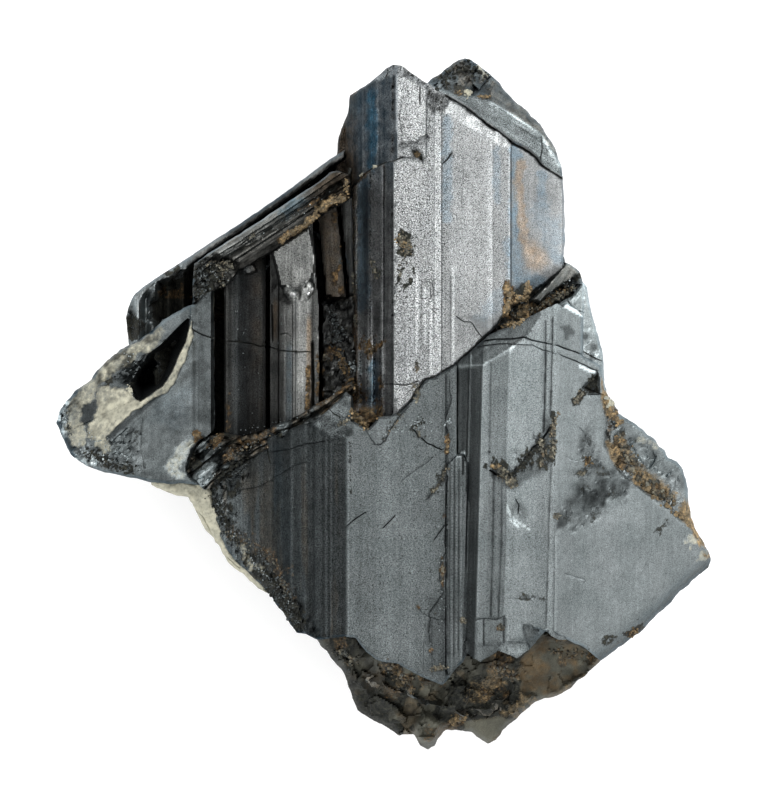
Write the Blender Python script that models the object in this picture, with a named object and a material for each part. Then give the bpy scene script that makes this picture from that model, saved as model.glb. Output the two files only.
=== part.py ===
"""Geocronite: a hand-sized cluster of lead-grey, lengthwise-striated crystals, broken from its vein.

The cluster lies on its broken back with its crystal faces up. +X runs to the right across the
faces, +Y along the crystals towards their tips, and +Z up from the bench. The origin is on the
bench, under the middle of the specimen. Every crystal has grown into its neighbours, so the
whole cluster is one solid: each crystal is a prism trimmed by its faces, all of them are joined
to the broken mass behind them, and the hollow in the left wedge is cut out last.
"""

import bmesh
import bpy
from mathutils import Vector

OBJECT_NAME = "geocronite_specimen"
MM = 0.001

# Driving dimensions, in millimetres.
WIDTH = 48.4  # left tip of the wedge to right tip of the broad crystal
LENGTH = 51.2  # tip of the matrix foot to tip of the peak
FACE = 23.6  # height of the two broad front faces where they meet at the diagonal ledge
PRISM_STEP = 1.4  # how far the central prism stands proud of the broad faces
UPPER_FALL = 1.9  # how far the upper broad face drops towards the crystals' tips
LOWER_FALL = 1.9  # how far the lower broad face drops towards the matrix foot
FLUTES = 17.6  # height of the recessed columns left of the upper crystal
MASS = 13.5  # height of the broken mass that all the crystals grow from
ROOT = 5.0  # depth at which every crystal is buried in that mass
TALL = FACE + 8.0  # clear of everything, where a prism is still untrimmed

LEFT, RIGHT = -WIDTH / 2, WIDTH / 2
TIP, FOOT = LENGTH / 2, -LENGTH / 2
PRISM_FACE = FACE + PRISM_STEP

# Every outline is seen from above, and every facet is a plane through three of its points.
# "faces" look up or sideways, and what lies above them is trimmed away. "undersides" look
# down at the bench, and what lies below them is trimmed away.

BROKEN_MASS = {
    "name": "broken_mass",
    "outline": [
        (-17.3, 4.5), (-12.4, 9.0), (-3.1, 15.7), (4.4, 21.0), (11.8, 18.6), (13.5, 7.9),
        (19.0, -2.6), (22.7, -10.0), (19.3, -15.4), (12.2, -20.5), (3.6, -21.6),
        (-2.2, -19.9), (-6.8, -15.4), (-12.2, -9.3), (-17.3, -4.8),
    ],
    "bottom": 0.0,
    "top": MASS,
    "faces": [],
    "undersides": [
        ((-17.3, 4.5, 6.0), (-17.3, -4.8, 5.2), (-10.0, 0.0, 0.0)),
        ((-12.4, 9.0, 6.5), (-3.1, 15.7, 6.0), (-4.0, 8.0, 0.0)),
        ((4.4, 21.0, 6.5), (11.8, 18.6, 7.0), (5.0, 13.5, 0.0)),
        ((13.5, 7.9, 7.0), (19.0, -2.6, 6.0), (11.5, 0.5, 0.0)),
        ((22.7, -10.0, 7.5), (19.3, -15.4, 7.0), (14.5, -9.0, 0.0)),
        ((12.2, -20.5, 5.0), (3.6, -21.6, 4.0), (7.0, -16.0, 0.0)),
        ((-6.8, -15.4, 4.5), (-12.2, -9.3, 5.5), (-5.0, -9.5, 0.0)),
    ],
}

UPPER_CRYSTAL = {
    "name": "upper_crystal",
    "outline": [
        (-3.2, 18.7), (-2.4, 22.3), (-1.4, 23.3), (0.2, 24.7), (1.6, 24.7), (3.4, 23.5),
        (6.6, 21.1), (9.4, 19.3), (13.3, 16.6), (13.5, 10.6), (14.4, 9.6), (8.9, 5.7),
        (5.2, 2.8), (2.2, 0.4), (0.7, -0.7), (-2.3, -1.4), (-2.8, 7.7),
    ],
    "bottom": ROOT,
    "top": TALL,
    "faces": [
        ((1.1, -0.7, FACE), (1.1, 24.0, FACE - UPPER_FALL), (13.0, 12.0, FACE - 1.4)),
        ((1.1, -0.7, FACE), (1.1, 24.0, FACE - UPPER_FALL), (-2.7, 10.0, 13.2)),
        ((12.6, 6.0, FACE - 1.0), (12.6, 16.0, FACE - 1.7), (13.6, 11.0, 16.0)),
        ((-1.5, 23.0, 19.0), (0.9, 24.7, 18.5), (2.6, 22.4, FACE - UPPER_FALL)),
    ],
    "undersides": [],
}

PEAK = {
    "name": "peak",
    "outline": [
        (3.3, 23.7), (4.2, 24.5), (6.2, TIP), (8.0, 24.4), (9.9, 22.6), (12.1, 20.2),
        (13.3, 17.9), (13.6, 15.3), (9.5, 16.4), (5.1, 19.7),
    ],
    "bottom": ROOT + 2.0,
    "top": TALL,
    "faces": [
        ((3.4, 23.4, FACE - 2.6), (13.2, 16.7, FACE - 2.2), (8.0, 24.4, 16.2)),
        ((6.2, TIP, 17.4), (4.0, 24.4, 17.6), (5.6, 22.2, 20.6)),
    ],
    "undersides": [
        ((6.2, TIP, 12.0), (12.1, 20.2, 11.0), (8.0, 18.0, 4.0)),
    ],
}

REAR_CRYSTAL = {
    "name": "rear_crystal",
    "outline": [
        (-3.4, 18.8), (-18.4, 8.4), (-19.1, 6.6), (-19.1, 4.5), (-16.7, 4.0), (-12.5, 5.4),
        (-2.5, 12.6),
    ],
    "bottom": 3.4,
    "top": TALL,
    "faces": [
        ((-3.4, 18.6, 11.0), (-18.4, 8.2, 10.0), (-10.5, 9.5, 12.4)),
    ],
    "undersides": [
        ((-3.4, 18.8, 7.0), (-18.4, 8.4, 6.0), (-9.0, 7.0, 2.4)),
    ],
}

DIAGONAL_BEAM = {
    "name": "diagonal_beam",
    "outline": [(-13.7, 10.5), (-3.4, 17.3), (-2.0, 16.9), (-2.0, 14.9), (-12.4, 8.5)],
    "bottom": ROOT + 2.5,
    "top": TALL,
    "faces": [
        ((-13.2, 9.6, FLUTES - 0.3), (-3.0, 16.0, FLUTES + 2.2), (-12.4, 8.5, FLUTES + 0.2)),
        ((-13.6, 10.4, FLUTES - 2.4), (-3.4, 17.2, FLUTES), (-13.1, 9.8, FLUTES - 0.3)),
    ],
    "undersides": [],
}

# The columns left of the upper crystal: left edge, right edge and height of each.
FLUTE_COLUMNS = [
    (-13.8, -12.45, FLUTES - 0.4),
    (-11.4, -8.65, FLUTES - 0.9),
    (-7.95, -5.15, FLUTES),
    (-3.9, -2.2, FLUTES - 1.3),
]
FLUTE_BEVEL = 0.9  # how far each column's two long edges are bevelled back
FLUTE_LOW_END, FLUTE_HIGH_END = -5.4, 8.6  # both ends are buried, in the ledge and the beam
LEDGE_SLANT, BEAM_SLANT = 0.5, 0.63  # how fast the ledge and the beam rise to the right

LEFT_WEDGE = {
    "name": "left_wedge",
    "outline": [
        (-15.3, 6.0), (-18.9, 4.2), (-20.7, 3.0), (-23.1, 0.4), (LEFT, -1.1), (-23.6, -2.6),
        (-21.8, -4.5), (-17.2, -5.8), (-13.9, -7.2), (-12.0, -5.7), (-12.9, 7.9),
        (-13.7, 8.9),
    ],
    "bottom": 3.0,
    "top": TALL,
    "faces": [
        ((-12.9, 7.5, FLUTES - 0.6), (-12.0, -5.6, FLUTES + 0.9), (-23.0, -1.3, 13.8)),
        ((-24.0, 0.0, 12.0), (-23.6, -2.6, 12.0), (-21.6, -1.2, 14.4)),
        ((-17.2, -5.8, 13.8), (-21.8, -4.5, 12.4), (-17.5, -4.2, 16.0)),
    ],
    "undersides": [
        ((LEFT, -1.1, 9.0), (-18.9, 4.2, 7.0), (-14.0, -7.2, 4.4)),
    ],
}

LEDGE = {
    "name": "ledge",
    "outline": [
        (-14.5, -5.3), (-13.6, -3.6), (-8.2, -1.4), (-5.1, 0.1), (-0.5, 3.2), (1.0, 1.9),
        (1.0, -1.2), (-3.1, -3.2), (-8.1, -5.6), (-13.0, -7.0),
    ],
    "bottom": ROOT + 1.2,
    "top": TALL,
    "faces": [
        ((-14.0, -4.5, FLUTES - 0.2), (-12.8, -6.8, FLUTES + 0.6), (0.0, 1.6, FACE - 1.6)),
    ],
    "undersides": [],
}

LOWER_CRYSTAL = {
    "name": "lower_crystal",
    "outline": [
        (-13.0, -6.3), (-8.0, -1.9), (-5.2, -1.6), (-2.7, -0.1), (0.8, -0.9), (5.2, 2.5),
        (6.3, -18.0), (4.4, -20.5), (2.3, -19.6), (-0.4, -18.7), (-1.9, -17.0),
        (-3.8, -17.2), (-6.2, -16.7), (-8.7, -13.4), (-11.9, -10.1),
    ],
    "bottom": ROOT + 0.4,
    "top": TALL,
    "faces": [
        ((-2.5, -1.8, FACE - 0.3), (5.4, 0.0, FACE), (2.0, -19.0, FACE - LOWER_FALL)),
        ((-2.5, -1.8, FACE - 0.3), (-2.5, -17.2, FACE - LOWER_FALL), (-12.9, -8.0, 14.8)),
    ],
    "undersides": [
        ((-13.0, -6.3, 6.6), (-6.2, -16.7, 7.6), (-6.0, -8.0, 3.0)),
    ],
}

CENTRAL_PRISM = {
    "name": "central_prism",
    "outline": [
        (5.5, 3.1), (7.4, 3.2), (10.1, 6.2), (12.2, 5.3), (12.2, -17.9), (9.9, -18.2),
        (8.3, -17.7), (7.0, -18.3), (5.5, -18.1),
    ],
    "bottom": ROOT + 0.9,
    "top": TALL,
    "faces": [
        ((7.4, 3.0, PRISM_FACE), (12.2, 3.0, PRISM_FACE - 0.2), (9.0, -18.0, 23.0)),
        ((7.4, 3.0, PRISM_FACE), (7.4, -18.0, 23.0), (5.5, -5.0, FACE - 1.2)),
        ((7.6, 2.6, PRISM_FACE), (10.6, 5.7, PRISM_FACE - 0.1), (8.4, 5.0, 22.4)),
    ],
    "undersides": [],
}

RIGHT_CRYSTAL = {
    "name": "right_crystal",
    "outline": [
        (11.8, 4.7), (16.3, 2.8), (17.1, -0.1), (21.1, -3.9), (22.6, -7.3), (RIGHT, -11.5),
        (20.5, -15.4), (16.1, -18.8), (13.8, -19.6), (11.8, -17.3),
    ],
    "bottom": ROOT - 0.6,
    "top": TALL,
    "faces": [
        ((12.0, 3.0, FACE), (12.0, -18.0, FACE - 1.7), (23.7, -11.5, 18.6)),
        ((23.3, -11.2, 18.6), (16.0, -17.6, 19.6), (24.1, -12.0, 15.6)),
        ((17.0, 0.0, 20.6), (21.4, -4.2, 18.6), (17.6, 0.6, 16.0)),
    ],
    "undersides": [
        ((RIGHT, -11.5, 11.0), (16.1, -18.8, 9.6), (16.0, -9.0, 2.6)),
    ],
}

CORNER_CRYSTAL = {
    "name": "corner_crystal",
    "outline": [(8.6, 5.5), (14.5, 9.8), (15.3, 6.6), (16.2, 2.4), (11.9, 3.6)],
    "bottom": ROOT + 1.6,
    "top": TALL,
    "faces": [
        ((9.0, 5.6, FACE - 1.3), (14.2, 9.6, FACE - 2.6), (16.0, 2.6, FACE - 1.9)),
        ((15.0, 7.6, 21.0), (15.8, 3.0, 21.2), (15.6, 7.2, 17.0)),
    ],
    "undersides": [],
}

MATRIX_FOOT = {
    "name": "matrix_foot",
    "outline": [
        (-4.9, -17.7), (-2.8, -20.2), (-1.9, -23.0), (1.3, -24.7), (3.5, FOOT), (4.8, -24.4),
        (7.9, -25.3), (11.2, -22.4), (14.2, -21.1), (16.8, -18.7), (12.0, -13.0),
        (-1.0, -13.0),
    ],
    "bottom": 0.8,
    "top": TALL,
    "faces": [
        ((-4.9, -17.7, 12.6), (16.8, -18.7, 15.8), (4.0, -25.0, 8.6)),
        ((-1.9, -23.0, 8.0), (3.5, FOOT, 7.2), (0.5, -21.0, 11.2)),
    ],
    "undersides": [
        ((3.5, FOOT, 4.6), (-4.9, -17.7, 4.4), (6.0, -16.5, 0.2)),
        ((7.9, -25.3, 5.6), (16.8, -18.7, 7.4), (9.0, -17.0, 0.2)),
    ],
}

# The hollow in the left wedge, open to the front.
WEDGE_HOLLOW = {
    "name": "wedge_hollow",
    "outline": [
        (-14.3, 6.4), (-15.1, 4.2), (-16.1, 1.9), (-18.2, 0.2), (-19.9, 1.4), (-18.2, 3.5),
        (-15.7, 5.4),
    ],
    "bottom": 11.5,
    "top": TALL,
    "faces": [],
    "undersides": [],
}


def clear_scene():
    """Removes every object that is already in the scene."""
    for thing in list(bpy.data.objects):
        bpy.data.objects.remove(thing, do_unlink=True)


def new_collection(name):
    """A collection linked to the scene."""
    collection = bpy.data.collections.new(name)
    bpy.context.scene.collection.children.link(collection)
    return collection


def upright_prism(name, outline, bottom, top):
    """A mesh object over a flat outline, from bottom to top, in millimetres."""
    curve = bpy.data.curves.new(name + "_outline", "CURVE")
    curve.dimensions = "2D"
    curve.fill_mode = "BOTH"
    curve.extrude = (top - bottom) / 2 * MM
    spline = curve.splines.new("POLY")
    spline.points.add(len(outline) - 1)
    for point, (x, y) in zip(spline.points, outline):
        point.co = (x * MM, y * MM, 0.0, 1.0)
    spline.use_cyclic_u = True
    guide = bpy.data.objects.new(name + "_outline", curve)
    bpy.context.scene.collection.objects.link(guide)
    guide.location.z = (bottom + top) / 2 * MM
    bpy.context.view_layer.update()
    graph = bpy.context.evaluated_depsgraph_get()
    mesh = bpy.data.meshes.new_from_object(guide.evaluated_get(graph))
    mesh.transform(guide.matrix_world)
    bpy.data.objects.remove(guide, do_unlink=True)
    body = bmesh.new()
    body.from_mesh(mesh)
    bmesh.ops.remove_doubles(body, verts=body.verts, dist=0.00001)
    bmesh.ops.dissolve_limit(body, angle_limit=0.001, verts=body.verts, edges=body.edges)
    bmesh.ops.recalc_face_normals(body, faces=body.faces)
    body.to_mesh(mesh)
    body.free()
    mesh.name = name
    return bpy.data.objects.new(name, mesh)


def trim(thing, facet, facing_up):
    """Cuts a closed mesh along the plane through three points and closes it with that face."""
    first, second, third = (Vector(corner) * MM for corner in facet)
    normal = (second - first).cross(third - first).normalized()
    if (normal.z > 0.0) != facing_up:
        normal.negate()
    body = bmesh.new()
    body.from_mesh(thing.data)
    cut = bmesh.ops.bisect_plane(
        body,
        geom=body.verts[:] + body.edges[:] + body.faces[:],
        plane_co=first,
        plane_no=normal,
        clear_outer=True,
    )
    rim = [part for part in cut["geom_cut"] if isinstance(part, bmesh.types.BMEdge)]
    bmesh.ops.edgeloop_fill(body, edges=rim)
    bmesh.ops.recalc_face_normals(body, faces=body.faces)
    body.to_mesh(thing.data)
    body.free()


def shaped(shape):
    """The solid that a shape describes: its upright prism, trimmed by all of its facets."""
    thing = upright_prism(shape["name"], shape["outline"], shape["bottom"], shape["top"])
    for facet in shape["faces"]:
        trim(thing, facet, facing_up=True)
    for facet in shape["undersides"]:
        trim(thing, facet, facing_up=False)
    return thing


def flute_column(number, left, right, height):
    """One recessed column: a box with both long front edges bevelled back."""
    first_left = FLUTE_COLUMNS[0][0]
    low_left = FLUTE_LOW_END + LEDGE_SLANT * (left - first_left)
    low_right = FLUTE_LOW_END + LEDGE_SLANT * (right - first_left)
    high_left = FLUTE_HIGH_END + BEAM_SLANT * (left - first_left)
    high_right = FLUTE_HIGH_END + BEAM_SLANT * (right - first_left)
    inset = 0.3 * (right - left)
    low, high = height - FLUTE_BEVEL, height
    return shaped({
        "name": f"flute_column_{number}",
        "outline": [
            (left, low_left), (right, low_right), (right, high_right), (left, high_left),
        ],
        "bottom": MASS - 3.0,
        "top": TALL,
        "faces": [
            ((left, 0.0, high), (right, 0.0, high), (left, 5.0, high)),
            ((left, 0.0, low), (left, 5.0, low), (left + inset, 0.0, high)),
            ((right, 0.0, low), (right, 5.0, low), (right - inset, 0.0, high)),
        ],
        "undersides": [],
    })


def lead_grey():
    """Tarnished lead-grey metal."""
    material = bpy.data.materials.new("geocronite")
    material.use_nodes = True
    shader = material.node_tree.nodes["Principled BSDF"]
    shader.inputs["Base Color"].default_value = (0.21, 0.22, 0.23, 1.0)
    shader.inputs["Metallic"].default_value = 0.85
    shader.inputs["Roughness"].default_value = 0.45
    return material


def as_helper(thing, collection):
    """Puts a joined or cutting solid away: it shapes the specimen and isn't shown itself."""
    collection.objects.link(thing)
    thing.hide_render = True
    thing.display_type = "WIRE"


def combine(specimen, other, operation):
    """Joins or cuts the specimen with another solid."""
    modifier = specimen.modifiers.new(other.name, "BOOLEAN")
    modifier.operation = operation
    modifier.solver = "EXACT"
    modifier.object = other


def main():
    clear_scene()
    parts = new_collection(OBJECT_NAME)
    helpers = new_collection("crystals_and_cutters")

    specimen = shaped(BROKEN_MASS)
    specimen.name = OBJECT_NAME
    specimen.data.name = OBJECT_NAME
    specimen.data.materials.append(lead_grey())
    parts.objects.link(specimen)

    crystals = [shaped(MATRIX_FOOT), shaped(REAR_CRYSTAL)]
    for number, (left, right, height) in enumerate(FLUTE_COLUMNS, start=1):
        crystals.append(flute_column(number, left, right, height))
    for shape in (
        DIAGONAL_BEAM, LEFT_WEDGE, UPPER_CRYSTAL, PEAK, LEDGE, LOWER_CRYSTAL, RIGHT_CRYSTAL,
        CORNER_CRYSTAL, CENTRAL_PRISM,
    ):
        crystals.append(shaped(shape))
    for crystal in crystals:
        as_helper(crystal, helpers)
        combine(specimen, crystal, "UNION")

    hollow = shaped(WEDGE_HOLLOW)
    as_helper(hollow, helpers)
    combine(specimen, hollow, "DIFFERENCE")


main()
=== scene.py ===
"""The looks of the geocronite specimen: its striated crystals, tarnish, crusts and rusty grains.

The specimen lies on its broken back and the camera looks straight down on it. Every outline below
is in view units, the pixels of the 777 by 800 view, x to the right and y down, because that is how
the faces, cracks and stains lie to each other. at() turns them into places on the specimen, at a
given height above the bench. Heights, depths and grain sizes are in millimetres.

Each crystal is a Relief: closely spaced points inside an outline. Its function works out their
height z and their tone, lays stains in the other channels, and close() adds the sides and the back.
A _FACE table has heights across a piece, as (place, z), and a _TONES table the tones there or what
they are multiplied by, as (place, tone). Besides the mineral's own tone, the tones hold painted
light: painted shade on sides that face away from the light, and painted highlights on lit edges.
A pattern of noise is picked by its seed, a whole number, and a seed that comes back with the same
size gives the same pattern.
"""

import math
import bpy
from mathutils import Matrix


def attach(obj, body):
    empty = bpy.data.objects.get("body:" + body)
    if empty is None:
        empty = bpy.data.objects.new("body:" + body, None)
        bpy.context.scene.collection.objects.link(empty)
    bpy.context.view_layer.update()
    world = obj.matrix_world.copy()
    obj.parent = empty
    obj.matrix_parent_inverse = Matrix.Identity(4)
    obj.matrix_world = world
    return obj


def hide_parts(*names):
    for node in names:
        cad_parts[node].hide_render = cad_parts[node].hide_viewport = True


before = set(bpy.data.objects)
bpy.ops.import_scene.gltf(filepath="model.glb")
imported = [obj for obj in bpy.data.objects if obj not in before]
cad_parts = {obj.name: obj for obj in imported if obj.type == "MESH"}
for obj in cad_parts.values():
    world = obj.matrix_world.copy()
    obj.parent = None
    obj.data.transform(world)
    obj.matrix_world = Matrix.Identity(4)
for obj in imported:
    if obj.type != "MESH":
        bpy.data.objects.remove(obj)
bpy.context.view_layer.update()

from types import SimpleNamespace

import bpy
import numpy as np
from mathutils import Vector
from mathutils.bvhtree import BVHTree
from mathutils.geometry import delaunay_2d_cdt

MM = 0.001
NODE = "geocronite_specimen"

# The view.
VIEW_WIDTH, VIEW_HEIGHT = 777, 800
UNIT = 0.073  # mm to one view unit, at the height of the front faces
FRONT = 22.0  # the height at which UNIT holds
DISTANCE = 405.0  # of the camera above FRONT
AXIS_X, AXIS_Y = 0.515, 0.42  # where the camera's axis meets the bench
SENSOR = 36.0  # on the frame's long side

# The meshes. Lengths are in view units.
EDGE_PACE = 1.5  # between points along an outline or a crease
CRACK_PACE = 1.6  # between points along a crack
EDGE_ROOM = 0.7  # that grid points keep from an outline
RAIL_ROOM = 0.55  # that they keep from a crack or crease
CRACK_WIDTH, CRACK_DEPTH = 0.8, 0.6  # of the widths and depths in the crack tables
CRACK_SHADE = 0.92  # how dark the painted shade in the darkest crack is
SIDE_DEPTHS = (0.02, 0.05, 0.09, 0.15, 0.22, 0.3, 0.38, 0.47, 0.57, 0.68, 0.8, 0.9, 1)

# What each point of a piece holds for the materials.
CHANNELS = ("tone", "speck", "blue", "warm", "rust", "crust", "dirt", "gold", "soot_and_shade")
STARTS = {"tone": 1.0, "speck": 0.5}


# ---------------------------------------------------------------- places and noise

def at(x, y, z):
    """Places in mm of view points x, y at the height z, allowing for the camera's perspective."""
    unit = UNIT * (DISTANCE + FRONT - z) / DISTANCE
    return np.stack(
        [AXIS_X + (x - VIEW_WIDTH / 2) * unit, AXIS_Y + (VIEW_HEIGHT / 2 - y) * unit, z], axis=-1
    )


def hashed(cells, seed):
    """A number from 0 to 1 for each integer cell."""
    c = cells.astype(np.int64).astype(np.uint64)
    h = c[..., 0] * np.uint64(73856093) ^ c[..., 1] * np.uint64(19349663)
    h = h ^ c[..., 2] * np.uint64(83492791) ^ np.uint64(seed * 2654435761 % 2**32)
    h = h & np.uint64(0xFFFFFFFF)
    for shift, factor in ((15, 2246822519), (13, 3266489917)):
        h = (h ^ (h >> np.uint64(shift))) * np.uint64(factor) & np.uint64(0xFFFFFFFF)
    return (h ^ (h >> np.uint64(16))).astype(float) / 2**32


def hashed3(cells, seed):
    """Three such numbers for each cell."""
    return np.stack([hashed(cells, seed + k) for k in range(3)], axis=-1)


def noise(points, size, seed):
    """Smooth noise from -1 to 1, with features of this size."""
    p = points / size
    low = np.floor(p)
    f = p - low
    f = f * f * (3 - 2 * f)
    total = 0.0
    for corner in np.ndindex(2, 2, 2):
        weight = np.prod(np.where(np.array(corner) == 1, f, 1 - f), axis=-1)
        total = total + weight * hashed(low + corner, seed)
    return 2 * total - 1


def fractal(points, size, seed, octaves=4):
    """Noise with finer and weaker noise on top."""
    return sum(noise(points, size / 2**k, seed + k) / 2**k for k in range(octaves))


def chips(points, size, seed):
    """Broken-rock relief from -1 to 1: each cell is one flat, tilted chip."""
    p = points / size
    low = np.floor(p)
    best = np.full(p.shape[:-1], np.inf)
    relief = np.zeros(p.shape[:-1])
    for offset in np.ndindex(3, 3, 3):
        cell = low + np.array(offset) - 1
        away = p - (cell + hashed3(cell, seed))
        distance = (away**2).sum(axis=-1)
        tilt = hashed3(cell, seed + 3) * 2 - 1
        nearer = distance < best
        best = np.where(nearer, distance, best)
        relief = np.where(nearer, (tilt * away).sum(axis=-1) + 0.4 * tilt[..., 0], relief)
    return relief


def plane(u, v):
    """Places for noise that only vary with u and v."""
    return np.stack([u, v, np.zeros_like(u)], axis=-1)


def ramp(value, low, high):
    """0 at low and 1 at high, smooth between them."""
    t = np.clip((value - low) / (high - low), 0, 1)
    return t * t * (3 - 2 * t)


def along(values, points):
    """Straight lines through (position, value) points."""
    places, heights = zip(*points)
    return np.interp(values, places, heights)


def blend(low, high, share):
    """low where the share is 0 and high where it is 1."""
    return low * (1 - share) + high * share


def bars(values, centres, width):
    """1 at each centre and 0 beyond the width from it."""
    away = np.min([np.abs(values - centre) for centre in centres], axis=0)
    return 1 - ramp(away, 0.3 * width, width)


# ---------------------------------------------------------------- lines and outlines

def reach(x, y, line, far=40.0):
    """Distance in view units from a chain of points, up to far."""
    line = np.asarray(line, float)
    best = np.full(x.shape, far)
    low, high = line.min(axis=0) - far, line.max(axis=0) + far
    near = (x > low[0]) & (x < high[0]) & (y > low[1]) & (y < high[1])
    px, py = x[near], y[near]
    found = np.full(px.shape, far)
    for (ax, ay), (bx, by) in zip(line, line[1:]):
        dx, dy = bx - ax, by - ay
        t = np.clip(((px - ax) * dx + (py - ay) * dy) / (dx * dx + dy * dy + 1e-9), 0, 1)
        found = np.minimum(found, np.hypot(px - ax - t * dx, py - ay - t * dy))
    best[near] = found
    return best


def depth_in(x, y, corners, far=40.0):
    """Distance inside a closed outline, less than 0 outside it."""
    corners = [tuple(c) for c in corners]
    ring = corners + corners[:1]
    inside = np.zeros(x.shape, bool)
    for (ax, ay), (bx, by) in zip(ring, ring[1:]):
        if ay != by:
            crosses = (ay > y) != (by > y)
            inside ^= crosses & (x < ax + (y - ay) * (bx - ax) / (by - ay))
    gap = reach(x, y, ring, far)
    return np.where(inside, gap, -gap)


def wandering(line, sway, seed, pace, closed=False):
    """A chain in short steps that sways to either side of the given one."""
    line = np.asarray(line, float)
    if closed:
        line = np.concatenate([line, line[:1]])
    gaps = np.hypot(*np.diff(line, axis=0).T)
    run = np.concatenate([[0], np.cumsum(gaps)])
    places = np.linspace(0, run[-1], max(2, int(run[-1] / pace) + 1))
    chain = np.stack([np.interp(places, run, line[:, k]) for k in range(2)], axis=-1)
    spot = plane(*(chain.T * UNIT))
    shift = np.stack([fractal(spot, 0.7, seed + k, 3) for k in (0, 50)], axis=-1)
    ease = np.ones(len(places))
    if not closed:
        ease = np.minimum(1, np.minimum(places, run[-1] - places) / 6)
    chain = chain + sway * shift * ease[:, None]
    return chain[:-1] if closed else chain


class Crack:
    """A groove along a chain: its width is to each side, and dirt says how dark its painted shade is; from
    1 up it is also stained with black dirt.
    """

    def __init__(self, line, width, depth, sway=1.0, dirt=1.0):
        seed = 11 + int(line[0][0] + line[0][1])
        self.chain = wandering(line, 0.6 * sway, seed, CRACK_PACE)
        self.width, self.depth, self.dirt = CRACK_WIDTH * width, CRACK_DEPTH * depth, dirt

    def share(self, x, y, spot):
        """1 along the chain, less where it nearly closes, and 0 beyond the width."""
        open_here = ramp(fractal(spot, 0.6, 12, 3), -0.5, 0.5)
        width = self.width * (0.72 + 0.56 * open_here)
        return (0.74 + 0.26 * open_here) * np.clip(1 - reach(x, y, self.chain, 12.0) / width, 0, 1)

    def rails(self):
        """The chain and its two edges."""
        run = np.gradient(self.chain, axis=0)
        side = np.stack([-run[:, 1], run[:, 0]], axis=-1)
        side /= np.linalg.norm(side, axis=1, keepdims=True) + 1e-9
        return [self.chain + side * offset for offset in (-self.width, 0.0, self.width)]


# ---------------------------------------------------------------- meshes

made = []


def make_piece(name, points, faces, values, material, sharp=30):
    """One visible mesh, whose values fill the channels. Edges over sharp degrees stay sharp."""
    mesh = bpy.data.meshes.new(name)
    mesh.from_pydata((points * MM).tolist(), [], faces)
    for channel, value in values.items():
        mesh.attributes.new(channel, "FLOAT", "POINT").data.foreach_set("value", value)
    mesh.materials.append(material)
    mesh.shade_smooth()
    mesh.set_sharp_from_angle(angle=math.radians(sharp))
    mesh.validate()
    thing = bpy.data.objects.new(name, mesh)
    bpy.context.scene.collection.objects.link(thing)
    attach(thing, "root")
    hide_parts(NODE)
    made.append(thing)


def grid(edge, dx, dy, lines, slope):
    """Grid points within an edge. Columns lean by the slope, and there is one at each line."""
    low, high = edge.min(axis=0), edge.max(axis=0)
    rows = np.arange(low[1] + 0.4 * dy, high[1], dy)
    lean = abs(slope) * (high[1] - low[1])
    columns = np.arange(low[0] - lean, high[0] + lean, dx)
    if len(lines):
        marks = np.array(lines, float)
        gap = np.abs(columns[:, None] - marks[None]).min(axis=1)
        columns = np.sort(np.concatenate([columns[gap > 0.45 * dx], marks]))
    u, y = np.meshgrid(columns, rows, indexing="ij")
    x = u + slope * (y - low[1])
    x, y = x.ravel(), y.ravel()
    keep = depth_in(x, y, edge, 3.0) > EDGE_ROOM
    return x[keep], y[keep]


def triangles(x, y, edge, rails):
    """Triangles through points and rails, out to the edge, as their corners and faces."""
    for rail in rails:
        keep = reach(x, y, rail, 3.0) > RAIL_ROOM
        x, y = x[keep], y[keep]
    points = list(zip(x, y))
    edges = []
    for rail in rails:
        within = depth_in(rail[:, 0], rail[:, 1], edge, 3.0) > 0.3
        for k, (point, good) in enumerate(zip(rail, within)):
            if good and k and within[k - 1]:
                edges.append((len(points) - 1, len(points)))
            if good:
                points.append(tuple(point))
    ring = list(range(len(points), len(points) + len(edge)))
    points += [tuple(p) for p in edge]
    corners, _, faces, *_ = delaunay_2d_cdt([Vector(p) for p in points], edges, [ring], 1, 1e-4)
    return np.array(corners), [face[::-1] for face in faces]


def boundary(faces):
    """The outer loop of a patch of triangles, as vertex numbers in order."""
    known = {(a, b) for f in faces for a, b in zip(f, f[1:] + f[:1])}
    follower = {a: b for a, b in known if (b, a) not in known}
    loops = []
    while follower:
        start = next(iter(follower))
        loop = [start]
        while (step := follower.pop(loop[-1], None)) is not None and step != start:
            loop.append(step)
        loops.append(loop)
    return np.array(max(loops, key=len))


def drawn_in(ring, middle, share):
    """A ring of points drawn towards the middle, to this share of its size."""
    ring = ring.copy()
    ring[:, :2] = middle + (ring[:, :2] - middle) * share
    return ring


def outward(ring, middle):
    """The directions on the bench from the middle to each point."""
    out = ring[..., :2] - middle
    return out / np.linalg.norm(out, axis=-1, keepdims=True)


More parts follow.
